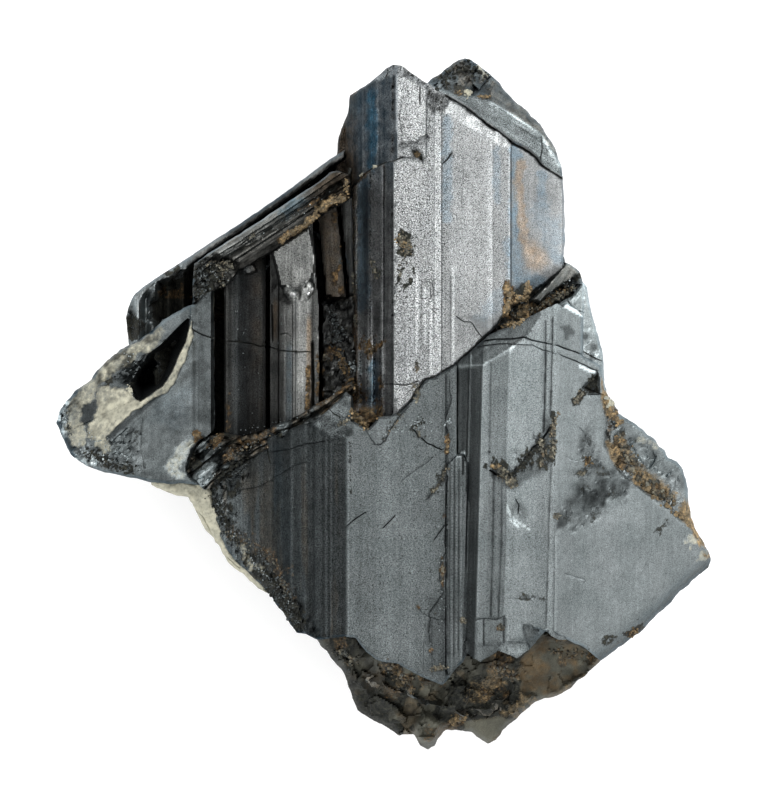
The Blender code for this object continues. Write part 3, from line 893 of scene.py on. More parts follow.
def upper_crystal():
    piece = Relief(
        "upper_crystal", UPPER_OUTLINE, 1.25, 2.6, [p[0] for p in UPPER_FACE], cracks=UPPER_CRACKS,
        creases=[TOP_BEVEL[:2] + [(512, 146), (510, 151), (443, 111)], CHUNK_FACET], seed=21,
    )
    x, y = piece.x, piece.y
    zone = upper_zones(piece, x, y)
    z = upper_height(piece, x, y, zone)
    for line, _ in HIGHLIGHT_LINES:
        z += 0.05 * piece.line(line, 0.4, 1.8)
    salmon = 0.62 * np.maximum(piece.streak(SALMON_LINE, 6.5, 32, 0.35),
                               piece.patch(SALMON_POOL, 12, 1, 33))
    piece.look(tone=upper_tone(piece, x, y, zone, salmon))
    rough = 1.0 + 0.7 * (1 - zone.face) + 0.15 * zone.face * (x < 434)
    rough *= 1 - 0.3 * ramp(x, 442, 450)
    rough *= 1 - 0.6 * np.maximum(zone.dull, 0.6 * ramp(x, 509, 512))
    piece.look(speck=rough + 0.6 * (zone.roof > 0) * (1 - zone.face))
    upper_stains(piece, x, zone, salmon)
    piece.close(z, LIT_SILVER, {"tone": 0.30, "dirt": 0.45, "rust": 0.25}, root=7.0, taper=0.06,
                edge=0.35, edge_width=2.5)


# ---------------------------------------------------------------- the peak behind it

PEAK_OUTLINE = [
    (424, 84), (433, 78), (439, 74), (446, 68), (453, 63), (459, 60), (465, 59), (471, 60), (477, 63),
    (484, 69), (490, 74), (496, 80), (501, 86), (508, 94), (515, 100), (524, 108), (533, 116), (540, 124),
    (545, 132), (550, 140), (554, 148), (558, 157), (562, 167), (563, 181), (555, 190), (520, 172),
    (470, 142), (430, 112), (422, 96),
]
BAND_EDGE = [
    (424, 84), (445, 92), (456, 96), (466, 97), (480, 99), (492, 102), (507, 112), (520, 120), (540, 133),
    (548, 146), (558, 160), (563, 172),
]
PEAK_EDGE = [(490, 103), (506, 112), (520, 121), (541, 134), (550, 150), (561, 164)]
PEAK_GLINTS = [[(544, 140), (556, 152)], [(549, 152), (560, 166)], [(508, 112), (530, 127)]]
PEAK_CRACKS = [
    ([(541, 134), (542, 146), (540, 160), (543, 168)], 1, 0.1, 1, 0.7),
    ([(492, 104), (506, 112)], 0.9, -0.1, 0.3, 0),
]


def peak():
    piece = Relief("peak", PEAK_OUTLINE, 1.4, 1.4, cracks=PEAK_CRACKS, creases=[BAND_EDGE],
                   sway=1.0, seed=41)
    x, y = piece.x, piece.y
    beyond = np.clip(along(x, BAND_EDGE) - y, 0, None)
    rocky = ramp(beyond, 0, 3) * ramp(x, 520, 480)
    clear = ramp(beyond, 0, 3) * ramp(x, 480, 520)
    strokes = noise(plane((x - 1.9 * y) * 0.16, (x + 0.5 * y) * 0.015), 1.0, 49)
    lines = noise(plane((x - 1.45 * y) * 0.55, (x + 0.7 * y) * 0.02), 1.0, 55)
    z = 21.75 - 0.009 * (x - 440) + UPPER_FALL * (y - 130) - 0.12 * beyond
    z += rocky * (0.5 * piece.chips(1.3, 42) + 0.25 * piece.chips(0.5, 43))
    z += clear * (0.15 * piece.chips(0.8, 44) + 0.22 * piece.chips(0.35, 50))
    z += 0.05 * strokes * (1 - rocky)

    band = (1.22 + 0.35 * ramp(x, 535, 552)) * (1 - 0.36 * clear)
    tone = blend(band, np.clip(0.62 + 0.6 * piece.chips(0.5, 43), 0.1, 2), rocky)
    tone *= 1 + 0.2 * piece.cloud(0.6, 45) + 0.3 * strokes + 0.35 * lines
    tone *= 1 + clear * (0.35 + 0.7 * piece.cloud(0.35, 51))
    # Painted highlights along the peak's edge and along the glint lines.
    tone *= 1 + piece.line(PEAK_EDGE, 0.4, 2.0)
    for line in PEAK_GLINTS:
        tone *= 1 + piece.line(line, 0.5, 2.2)
    piece.look(tone=tone, speck=0.9, warm=0.4 * clear)
    piece.clouds(("warm", 0.5 * rocky, 1.2, 46, 0.0, 0.6), ("dirt", 0.55 * rocky, 0.8, 47, 0.1, 0.6))
    piece.streaks(("crust", 0.7, [(479, 67), (485, 76)], 3, 48))
    piece.close(z, GREY, {"tone": 0.6, "dirt": 0.45, "rust": 0.3}, taper=0.1, edge=0.5)


# ---------------------------------------------------------------- the rear crystal and the beam

REAR_OUTLINE = [
    (127, 330), (126, 318), (128, 308), (132, 299), (136, 293), (153, 280), (180, 263), (197, 251.5),
    (240, 223.5), (281, 195.5), (330, 159), (345, 150), (352, 180), (345, 225), (215, 320), (180, 345),
    (150, 358), (130, 352),
]
REAR_EDGE = [
    (120, 304), (136, 293), (153, 280), (197, 251.5), (240, 223.5), (281, 195.5), (330, 159), (350, 146),
]
REAR_HOLLOW = [(160, 286), (192, 270), (198, 300), (182, 318), (160, 326), (150, 318)]
REAR_TONES = [(150, 1.8), (170, 2.6), (215, 3), (240, 0.3), (285, 0.3), (305, 1.6), (335, 1.8)]
RIBS = [[(238, 232), (238, 260)], [(276, 205), (279, 225)], [(309, 182), (312, 200)]]


def rear_crystal():
    piece = Relief("rear_crystal", REAR_OUTLINE, 1.6, 1.6, sway=0.3, seed=51)
    x, y = piece.x, piece.y
    band = y - along(x, REAR_EDGE)
    z = 12.0 + 0.004 * (x - 200)
    z += along(band, [(0, -0.3), (4, 0), (8, -0.1), (11, -1), (15, -3.5), (60, -4)])
    for rib in RIBS:
        z += 1.2 * piece.line(rib, 1.0, 4.0) * ramp(band, 9, 13)
    end = ramp(x, 196, 182)
    round_end = 10.6 - 0.02 * np.clip(band - 6, 0, None) + 0.5 * np.sin(x * 0.42) * ramp(band, 4, 14)
    z = blend(z, round_end, end)
    hollow = piece.patch(REAR_HOLLOW, 8, 3)
    z += 0.10 * piece.cloud(0.8, 52) + 0.2 * end * piece.chips(1.0, 53) - 2.5 * hollow

    # Lighter along the edge band and painted darker below it, as shade where the face drops behind the
    # beam.
    tone = along(band, [(0, 1), (3, 1.1), (7, 0.8), (9, 0.5), (12, 0.15), (60, 0.15)])
    tone *= 1 + ramp(band, 9, 5) * along(x, REAR_TONES)
    stripes = 1 + 0.35 * bars(x, (133, 139, 150, 168), 5.0) * ramp(y, 294, 304)
    # The far left of the rounded end is painted darker: painted shade that dims the reflection on its
    # rounded edge.
    tone = blend(tone, 5.4 * stripes * (1 - 0.45 * ramp(x, 136, 129)), end)
    piece.look(tone=tone * (1 + 0.25 * piece.cloud(1.2, 54)), blue=0.15 * end, dirt=0.9 * hollow)
    piece.streaks(("rust", 0.62, [(166, 292), (178, 290), (190, 298)], 6, 55, 1.0))
    piece.clouds(("dirt", 0.7 * end, 1.4, 56, 0.1, 0.6))
    piece.close(z, SHADED_TARNISH, {"tone": 1.6, "dirt": 0.45, "rust": 0.25}, root=4.0, taper=0.15,
                edge=0.5, centre=(-7, 4))


BEAM_OUTLINE = [
    (194, 264), (200, 259), (220, 246), (240, 234), (281, 207), (318, 182), (330, 173), (338, 171),
    (350, 175), (353, 196), (346, 201), (332, 208), (317, 220), (298, 234), (279, 248), (262, 258),
    (240, 271), (227, 285), (214, 291), (204, 297), (193, 305), (193, 280),
]
BEAM_TOP = [(190, 266), (200, 259), (220, 246), (240, 234), (281, 207), (318, 182), (335, 170), (355, 158)]
BEAM_FACE = [(0, -0.4), (1.6, -0.05), (3, 0), (7, 0.05), (8, -0.25), (13, -0.15), (14.2, -0.5),
             (18, -0.35), (22, -0.2), (23.5, -0.7), (30, -0.9), (40, -1.6)]
BEAM_TONES = [(0, 1), (1.2, 1.3), (2.5, 0.8), (7, 0.9), (8, 0.5), (13, 0.8), (14, 0.5), (20, 0.7),
              (24, 0.4), (30, 0.35)]
BEAM_CREASES = [[(205, 262), (250, 235), (300, 203), (332, 182)],
                [(222, 252), (250, 241), (290, 217), (318, 200)],
                [(240, 258), (279, 236), (312, 213), (345, 196)]]
BEAM_CRACKS = [
    ([(232, 254), (262, 238), (285, 225), (300, 216)], 0.9, 0.25, 1),
    ([(318, 206), (322, 198), (330, 190), (340, 184)], 4, 1.6, 1),
    ([(240, 245), (270, 226), (300, 207)], 0.8, 0.2, 0.8, 0.6),
]
POROUS_FOOT = [(190, 262), (215, 254), (236, 260), (238, 276), (226, 290), (210, 298), (190, 310)]
BEAM_GOLD = (([(281, 241), (290, 233), (303, 226), (316, 217)], 4.0),
             ([(321, 207), (329, 202), (336, 197), (343, 198)], 5.0))


def diagonal_beam():
    piece = Relief("diagonal_beam", BEAM_OUTLINE, 1.2, 1.4, cracks=BEAM_CRACKS,
                   creases=BEAM_CREASES, seed=61)
    x, y = piece.x, piece.y
    t = y - along(x, BEAM_TOP)
    z = 17.7 + 0.016 * (x - 195) + along(t, BEAM_FACE)
    z += 0.07 * fractal(plane((x + 1.6 * y) * 0.004, t * 0.06), 0.2, 62)
    z += 0.05 * piece.cloud(0.4, 63)
    porous = piece.patch(POROUS_FOOT, 5, 2, 64)
    z += porous * (0.35 * piece.chips(0.5, 65) - 0.4 + 0.05 * np.clip(t - 14, 0, 30))
    z -= 0.25 * ramp(x, 262, 248) * ramp(t, 12, 16)

    fibres = noise(plane((x + 1.55 * y) * 0.012, t * 1.3), 1.0, 75)
    tone = along(t, BEAM_TONES) * 1.25 * (1 + 0.3 * piece.cloud(0.6, 66)) * (1 + 0.28 * fibres)
    tone *= 1 - 0.66 * ramp(x, 288, 318)
    piece.look(tone=blend(tone, np.clip(0.32 + 0.5 * piece.chips(0.3, 76), 0.08, 1.5), porous))
    top = 0.35 * piece.clumps(1.4, 67, 0.0, 0.6) * (1 - ramp(t, 2, 4))
    piece.stain("warm", top + 0.1 * ramp(t, 14, 18))
    piece.stain("warm", 0.6 * ramp(x, 300, 325))
    piece.clouds(("dirt", 0.62 * porous, 0.5, 69, -0.2, 0.3))
    for line, width in BEAM_GOLD:
        piece.streaks(("gold", 1.0, line, width, 74, 0.8))
        piece.clouds(("soot_and_shade", 0.7 * piece.streak(line, width, 77, 0.5), 0.32, 78, 0.1, 0.35))
    piece.streaks(
        ("blue", 0.4, [(285, 212), (300, 202)], 8, 68),
        ("rust", 0.8, [(280, 241), (290, 233), (303, 226), (317, 216)], 4.0, 70, 0.7),
        ("rust", 0.7, [(300, 210), (311, 204), (319, 199)], 2.0, 71, 0.6),
        ("rust", 0.9, [(319, 208), (328, 203), (335, 198), (343, 199)], 4.5, 72, 0.7),
    )
    piece.close(z, SLANTED, {"tone": 0.5, "dirt": 0.5}, root=9.0, taper=0.05, edge=0.25,
                edge_width=1.5)


# ---------------------------------------------------------------- the recessed columns

COLUMNS_OUTLINE = [
    (212, 284), (226, 276), (240, 262), (262, 250), (279, 240), (298, 226), (317, 212), (335, 200),
    (352, 190), (354, 300), (356, 392), (345, 400), (330, 412), (313, 420), (290, 430), (270, 440),
    (240, 450), (212, 455),
]
COLUMNS_FACE = [
    (212, 9.8), (213.4, 9.4), (223.6, 9.4), (224.2, 15.9), (226, 16), (229, 16.04), (230.2, 16.1),
    (237, 16.2), (238.5, 16.15), (247, 16.3), (256, 16.22), (262, 16.16), (265.6, 16.05), (266.2, 9.6),
    (269.6, 9.6), (270.2, 15.9), (274, 16.03), (278, 16.1), (279.2, 16.4), (284, 16.6), (285.5, 16.6),
    (292, 17), (293.2, 16.9), (295, 16.9), (295.8, 17.2), (304.5, 17.4), (306, 17.35), (311, 17.28),
    (315.2, 17.15), (318.6, 17.05), (319.4, 8.9), (325.6, 8.9), (326.2, 15.2), (329, 15.3), (345.5, 15.5),
    (346.7, 15.4), (347.2, 12.5), (349, 12.5), (349.6, 14.6), (356, 14.8),
]
# Tones across the columns; the near-black ones in the slots are painted shade.
COLUMNS_TONES = [
    (212, 0.05), (223.8, 0.05), (224.6, 0.8), (229.5, 0.85), (232, 0.8), (236, 1), (238.5, 0.55),
    (242, 0.38), (250, 0.32), (255, 0.42), (259, 0.52), (262, 0.5), (265.5, 0.3), (266, 0.05),
    (269.5, 0.05), (270.6, 1.4), (273, 0.7), (278, 0.65), (280, 0.9), (283, 1.3), (285, 2.2), (288, 3.6),
    (291, 3.8), (292.6, 2.8), (294, 4), (296, 5), (304, 5.2), (305.5, 4.2), (308, 5.5), (310.5, 3.2),
    (312.5, 1.4), (314, 2.2), (317, 3), (318.5, 2.2), (319.5, 0.05), (325.8, 0.05), (327, 1.1), (336, 1.2),
    (345.5, 1.1), (346.8, 0.1), (349, 0.1), (350.2, 1.1), (356, 1.3),
]
# The slots between the columns, which are painted black as shade.
SLOTS = [(213, 223.8), (266, 269.8), (319.5, 326)]
KEYSTONE = [
    (272, 252), (279, 247), (309, 228), (314, 250), (315, 262), (312, 279), (303, 284), (296, 292),
    (289, 287), (281, 286), (277, 270),
]
KEY_CHIPS = [
    (281, 286), (289, 287), (296, 291), (303, 284), (312, 279), (313, 290), (308, 299), (297, 300),
    (288, 297),
]
KEY_SIDE = [(272, 256), (281, 290), (293, 302), (288, 306), (272, 292)]
KEY_EDGE = [(314, 256), (315, 264), (313, 280), (304, 285)]
COLUMN_CAP = [(240, 271), (246, 265), (253, 263), (257, 271), (249, 274)]
COLUMN_RUBBLE = [(321, 300), (355, 296), (356, 392), (322, 405)]
COLUMN_CRACKS = [
    ([(229, 341), (240, 342), (252, 344), (262, 346), (270, 347), (280, 350), (295, 352),
      (311, 352)], 0.9, 0.25, 1), ([(213, 333), (224, 337)], 1, 0.2, 0.6),
    ([(262, 345), (268, 341)], 0.8, 0.2, 0.4), ([(281, 334), (287, 333), (291, 336)], 1, 0.1, 0.4, 0.8),
    ([(312.5, 344), (313, 380), (312.5, 420)], 2.2, 1.2, 0.4),
    ([(272, 306), (272.5, 340)], 1, 0.2, 0.4, 0.6),
]


def columns():
    piece = Relief("recessed_columns", COLUMNS_OUTLINE, 1.25, 2.4, [p[0] for p in COLUMNS_FACE],
                   cracks=COLUMN_CRACKS, creases=[KEYSTONE + KEYSTONE[:1], KEY_CHIPS, COLUMN_CAP],
                   seed=81)
    x, y = piece.x, piece.y
    lean = x + 0.10 * np.clip(300 - y, 0, None) * ramp(x, 308, 316)
    key = ramp(piece.into(KEYSTONE), -0.7, 0.7)
    broken = piece.patch(KEY_CHIPS, 2, 1)
    side = piece.patch(KEY_SIDE, 2, 1)
    cap = ramp(piece.into(COLUMN_CAP), -1, 1)
    rubble = piece.patch(COLUMN_RUBBLE, 4, 2)
    lumps, glints = piece.chips(1.8, 85), piece.chips(0.4, 83)
    z = along(lean, COLUMNS_FACE) + piece.striae(82, 2.0, 0.035)
    z = blend(z, 18.2 + 0.018 * (x - 290) - 0.006 * (y - 250), key)
    z += broken * (0.2 * glints + 0.75 * ramp(y, 304, 286))
    z -= side * (0.1 - 0.12 * piece.chips(0.5, 84))
    z += 0.3 * cap - 0.012 * np.clip(300 - y, 0, None) * (x < 268) * (x > 225)
    heap = 14.4 + 0.012 * (y - 350) + 0.35 * lumps + 0.16 * piece.chips(0.5, 86)
    z = blend(z, heap, rubble)

    tone = blend(along(lean, COLUMNS_TONES), 4.3, key)
    # Painted highlight along the keystone's lower right edge.
    tone += 7.0 * piece.line(KEY_EDGE, 0.5, 2.0)
    # The broken chips under the keystone are painted much lighter: painted glints where they lie in its
    # shadow.
    tone = blend(tone, np.clip(15.0 + 34.0 * glints, 1.5, 44.0), broken)
    tone = blend(tone, 0.8 + 0.8 * piece.chips(0.5, 84), side) + 1.2 * cap
    heap = np.clip(1.1 + 1.0 * lumps + 1.8 * piece.chips(0.4, 86), 0.15, 6)
    tone = blend(tone, heap, rubble)
    tone += 5.0 * piece.spots([(319, 338), (321, 345), (220, 312), (332, 371), (326, 356)], 2.5)
    tone *= (1 + 0.2 * piece.cloud(1.0, 87)) * (1 - 0.35 * ramp(y, 385, 425))
    piece.look(tone=tone, speck=0.9 + 0.1 * key)
    # Painted shade: the slots are stained black.
    for left, right in SLOTS:
        piece.stain("dirt", (lean > left) * (lean < right) * (1 - key) * (1 - rubble))
    piece.stain("warm", 0.7 * bars(x, (275.5,), 4) * ramp(y, 296, 306) * ramp(y, 345, 330))
    piece.stain("warm", 0.65 * bars(x, (309,), 3.5) * ramp(y, 310, 325))
    piece.stain("warm", 0.55 * bars(lean, (336,), 16) * (y < 300))
    piece.stain("blue", 0.3 * bars(x, (289,), 4.5) * ramp(y, 335, 355))
    piece.stain("blue", 0.15 * bars(x, (240,), 12))
    piece.blots(("blue", 0.62, [(344, 261)], 7))
    piece.streaks(
        ("rust", 0.9, [(308, 368), (308, 385), (307, 413)], 3.2, 89, 0.5),
        ("rust", 0.8, [(320, 358), (321, 385), (318, 402)], 4, 90, 0.8),
        ("rust", 0.5, [(228, 395), (228, 430)], 3, 91, 0.9),
    )
    piece.clouds(
        ("warm", 0.3 * bars(x, (257,), 8), 1.5, 88, -0.4, 0.4),
        ("rust", 0.55 * rubble * ramp(y, 330, 350), 1.1, 92, 0.1, 0.6),
        ("rust", 0.8 * ramp(y, 300, 290) * bars(x, (338,), 10), 0.5, 94, 0.25, 0.5),
        ("dirt", 0.45 * rubble, 1.0, 93, 0.3, 0.7),
    )
    piece.close(z, SHADED_TARNISH, {"tone": 0.7, "dirt": 0.5}, root=6.0, taper=0.02, bites=0.2, layers=0.0,
                edge=0.1, depths=(0.1, 0.4, 1))


# ---------------------------------------------------------------- the left wedge

WEDGE_OUTLINE = [
    (57, 421), (59, 413), (62, 407), (67, 401), (71, 397.5), (77, 389.5), (90, 381), (104, 363.5),
    (113, 356), (122, 349.5), (130, 345), (150, 333), (165, 320), (178, 311), (186, 306), (193, 304),
    (202, 295), (213.6, 291), (214.6, 430), (206, 436), (197, 443), (190, 460), (187, 470), (192, 478),
    (204, 485), (190, 484), (176, 483.5), (162, 483), (151, 482.5), (138, 479), (125, 476), (105, 473),
    (90, 467.5), (79, 461), (71, 455), (64, 442), (59, 431),
]
CAVITY = [
    (190, 316), (190, 327), (186.5, 342), (178.5, 358), (173, 371), (164, 386), (152, 394), (141, 402),
    (135, 399), (133, 392), (128, 386), (118, 382), (112, 378), (121, 371), (136, 358), (150, 352),
    (160, 345), (172, 333), (183, 322),
]
CREAM_BAND = [
    (71, 399), (87, 382), (98, 371), (104, 364), (116, 356), (130, 346), (148, 337), (160, 327), (168, 330),
    (160, 345), (150, 352), (136, 356), (122, 368), (110, 374), (100, 388), (92, 398), (84, 403),
]
CREAM_PATCH = [
    (100, 386), (118, 387), (130, 391), (135, 399), (140, 403), (128, 413), (113, 426), (104, 438),
    (94, 440), (85, 438), (88, 428), (93, 419), (96, 408), (97, 396),
]
CREAM_TIP = [
    (70, 402), (82, 400), (80, 420), (84, 430), (88, 434), (84, 444), (74, 446), (68, 438), (67, 420),
]
CREAM_RIM = [
    (191, 322), (193, 336), (188.5, 350), (185, 360), (178, 373), (174, 384), (166, 393), (151, 400),
    (139, 407), (128, 416), (112, 431), (102, 440), (98, 440), (112, 426), (128, 411), (141, 401),
    (152, 393.5), (164, 385.5), (173, 370.5), (178.5, 357.5), (186, 341),
]
LOW_CREAM = [(96, 437), (108, 435), (110, 450), (104, 455), (97, 446)]
WHITE_PATCH = [
    (176, 447), (190, 438), (195, 441), (190, 452), (184, 462), (182, 477), (171, 478), (166, 466),
    (172, 458),
]
TEAL_GLAZE = [(158, 318), (182, 312), (181, 322), (170, 334), (160, 332)]
WEDGE_RIDGE = [(72, 452), (100, 440), (141, 404), (168, 380), (189, 330)]
SUGARY_FOOT = [(70, 446), (92, 444), (118, 434), (140, 424), (144, 474), (106, 472), (80, 462)]
DARK_GAP = [(80, 402), (96, 400), (94, 412), (88, 426), (80, 426)]
GRIMY_ARM = [(96, 376), (118, 364), (130, 354), (136, 360), (120, 372), (100, 390), (92, 394)]
ARM_SOOT = [(70, 0.2), (84, 0.05), (93, 0), (100, 0.7), (112, 0.62), (128, 0.68), (150, 0.5),
            (170, 0.1)]
WEDGE_CRACKS = [
    ([(142, 418), (141, 432), (141, 448), (143, 462), (145, 474)], 1.2, 0.06, 0.8, 0.45),
    ([(190, 328), (198, 333), (208, 337), (213, 338)], 1, 0.25, 0.6),
    ([(110, 443), (118, 436), (127, 428)], 0.8, -0.15, 0.5, 0),
]

# A cream crust: its outline, softness, roughness, seed and thickness.
CREAM_CRUSTS = (
    (CREAM_BAND, 5, 3, 107, 0.68), (CREAM_PATCH, 5, 2.5, 108, 0.88), (CREAM_TIP, 5, 3, 109, 0.58),
    (CREAM_RIM, 2.0, 1.0, 110, 0.86), (LOW_CREAM, 4, 3, 112, 0.75),
)


def wedge_stains(piece, crusts, sink, deep, shadowed, rough):
    x, y = piece.x, piece.y
    sheen = piece.patch([(150, 400), (190, 380), (192, 425), (150, 425)], 20, 6)
    piece.stain("blue", 0.10 * sheen)
    # Painted shade: the shadowed part of the hollow is stained black.
    black = deep * ramp(sink, 0.5, 2.5) * shadowed
    piece.stain("dirt", black + 0.6 * deep * piece.clumps(0.5, 117, 0.2, 0.6))
    piece.clouds(
        ("dirt", 0.45 * rough, 0.3, 118, 0.2, 0.5),
        ("dirt", 0.7 * piece.patch(GRIMY_ARM, 5, 4, 128), 0.3, 129, 0.1, 0.4),
    )
    piece.streaks(("rust", 0.85, [(194, 433), (200, 437), (196, 441)], 5, 119))
    band, middle, end = crusts[:3]
    arm = along(x, ARM_SOOT) + 0.4 * ramp(x, 84, 78) * ramp(y, 416, 408)
    arm = np.clip(arm * (1 + 1.1 * piece.cloud(0.45, 130)), 0, 0.9)
    rind = ramp(piece.away, 3.5, 1.0) * (y < 400) * ramp(x, 175, 150)
    # Painted shade in the shadowed part of the hollow.
    piece.stain("soot_and_shade", 0.9 * deep * shadowed)
    piece.stain("soot_and_shade", middle * np.clip(0.26 + 0.4 * piece.cloud(0.4, 126), 0, 0.7))
    piece.stain("soot_and_shade", np.maximum(band, end) * arm)
    piece.clouds(("soot_and_shade", 0.9 * rind, 0.5, 131, -0.2, 0.3))


def left_wedge():
    piece = Relief("left_wedge", WEDGE_OUTLINE, 1.5, 1.5, cracks=WEDGE_CRACKS,
                   creases=[CAVITY + CAVITY[:1]], sway=1.0, seed=101)
    x, y = piece.x, piece.y
    ridge, sink = piece.off(WEDGE_RIDGE), piece.into(CAVITY)
    shadowed = ramp(x + 0.63 * (y - 370), 138, 148)
    deep = blend(ramp(sink, 0.0, 4.0), ramp(sink, 0.0, 1.2), shadowed)
    tip = np.clip(ramp(x, 100, 70) * ramp(y, 436, 450) + ramp(x, 74, 66), 0, 1)
    tip_chips, sugar = piece.chips(0.55, 104), piece.chips(0.32, 106)
    rough = piece.patch(SUGARY_FOOT, 8, 5, 105)
    white = piece.patch(WHITE_PATCH, 5, 3.5, 111)
    white_chips = piece.chips(0.4, 125)

    z = along(x, [(56, 12.4), (75, 13.8), (140, 15.8), (193, 17), (196, 17.2), (211, 17.3),
                  (214, 16.9)])
    z += 0.10 * piece.cloud(1.4, 102) + 0.5 * (1 - ramp(ridge, 0, 9))
    upper = (y < along(x, [(72, 430), (141, 396), (189, 320)])) * (x < 190)
    z -= upper * 0.03 * np.clip(ridge, 0, 40)
    z -= (0.07 + 0.27 * shadowed) * np.clip(sink, 0, 12) ** 1.15
    z -= 0.9 * shadowed * ramp(sink, 0, 1.2)
    floor = 0.35 * piece.chips(0.8, 103) + 0.2 * piece.chips(0.35, 123)
    z += (sink > 0) * floor * (0.4 + 0.6 * ramp(sink, 0, 5))
    z += tip * 0.45 * tip_chips
    z += rough * (0.14 * sugar + 0.05 * piece.chips(0.9, 127))
    z += 0.12 * white * white_chips
    z += 0.55 * (1 - np.clip(piece.away / 4, 0, 1)) ** 2 * ramp(x, 200, 207)
    crusts = []
    for outline, soft, ragged, seed, thickness in CREAM_CRUSTS:
        crusts.append(piece.patch(outline, soft, ragged, seed))
        z += 0.12 * crusts[-1] * (1 + 0.5 * piece.cloud(0.5, 113))
        piece.stain("crust", thickness * crusts[-1] * (1 + 0.35 * piece.cloud(1.3, 121)))
    piece.stain("crust", 0.36 * white)
    piece.masks["crust"] *= 1 - deep

    tone = 0.76 + 0.20 * piece.cloud(1.6, 115) + 0.14 * piece.cloud(0.35, 124)
    tone *= 1 - 0.25 * bars(x, (193.5, 198.5, 204), 1.2) * ramp(y, 340, 370)
    tone *= 1 + 0.15 * rough * (1 + 5.0 * sugar)
    tone *= 1 + 0.5 * piece.patch(TEAL_GLAZE, 5, 2, 114)
    # The tip's chips are painted lighter or darker by their tilt: painted sparkle.
    tone = blend(tone, 1.2 + 2.6 * (tip_chips > 0.2) - 0.9 * (tip_chips < -0.1), tip)
    tone *= 1 - 0.36 * ramp(x, 193, 201)
    tone = blend(tone, 2.2 + 1.3 * white_chips, white)
    # Painted glints at three spots.
    tone += 6.0 * piece.spots([(95, 461)], 4.5) + 3.0 * piece.spots([(63, 431), (68, 403)], 3)
    tone *= 1 - 0.45 * piece.patch(DARK_GAP, 4, 2, 116)
    # The hollow is painted darker as shade, most where it is shadowed.
    uneven = 1 + 1.2 * piece.cloud(0.4, 120) * (1 - shadowed)
    tone *= 1 - deep * (0.25 + 0.6 * shadowed) * uneven
    piece.look(tone=np.clip(tone, 0.05, 8))
    wedge_stains(piece, crusts, sink, deep, shadowed, rough)
    piece.close(z, GREY, {"tone": 0.7, "dirt": 0.45, "crust": 0.35}, root=4.0, taper=0.25,
                centre=(-13, 1), edge=0.6, edge_width=4)


STRIP_OUTLINE = [
    (150, 478), (185, 480), (206, 482), (212, 495), (218, 508), (222, 520), (226, 534), (230, 546),
    (238, 558), (250, 568), (266, 582), (267, 592), (258, 588), (248, 578), (236, 569), (228, 562),
    (219, 546), (207, 531), (196, 512), (188, 498), (175, 495), (163, 491), (152, 485),
]
STRIP_CRACKS = [([(192, 504), (204, 520), (214, 538), (224, 555), (240, 568)], 1, 0.3, 1.5)]


def crust_strip():
    piece = Relief("crust_strip", STRIP_OUTLINE, 1.3, 1.3, cracks=STRIP_CRACKS, sway=1.2,
                   seed=121)
    z = 14.6 - 0.006 * (piece.y - 480) + 0.2 * piece.cloud(0.9, 122) + 0.05 * piece.cloud(0.25, 123)
    piece.look(crust=0.95)
    piece.clouds(("dirt", 0.62, 1.5, 124, 0.25, 0.6))
    piece.close(z, GREY, {"tone": 0.7, "dirt": 0.4, "crust": 0.55}, root=5.0, taper=0.5,
                centre=(-4, -6), edge=0.7, edge_width=5)


# ---------------------------------------------------------------- the diagonal ledge

LEDGE_OUTLINE = [
    (184, 470), (188, 460), (196, 446), (206, 438), (220, 432), (240, 436), (268, 429), (285, 421),
    (300, 414), (313, 406), (330, 397), (345, 386), (352, 381), (356, 392), (345, 400), (330, 412),
    (316, 426), (300, 432), (272, 446), (255, 456), (240, 464), (225, 474), (210, 488), (203, 490),
    (196, 482), (188, 478),
]
LEDGE_TOP = [(180, 474), (224, 436), (270, 427), (313, 404), (356, 378)]
LEDGE_FACE = [(0, -0.9), (3, 0.1), (9, 0.2), (11, -0.1), (17, 0.3), (22, 0.3), (30, -0.3)]
LEDGE_CRACKS = [
    ([(188, 476), (205, 462), (222, 450), (235, 440), (243, 436)], 1.6, 0.9, 1),
    ([(186, 468), (196, 457), (212, 446), (224, 437)], 1, 0.3, 0.8, 0.8),
    ([(205, 488), (222, 472), (238, 462), (255, 450), (268, 444), (285, 436)], 1.5, 0.8, 1),
    ([(215, 470), (235, 455), (255, 443), (270, 438)], 0.9, 0.25, 0.8, 0.7),
    ([(268, 436), (280, 430), (292, 428), (300, 424), (313, 415), (330, 403), (348, 389)], 1.4, 0.6, 0.8),
    ([(278, 444), (284, 438), (290, 428)], 1.2, 0.5, 0.6),
]
TEAL_PATCH = [
    (198, 475), (203, 464), (210, 460), (217, 466), (216, 475), (208, 486), (201, 487), (197, 482),
]


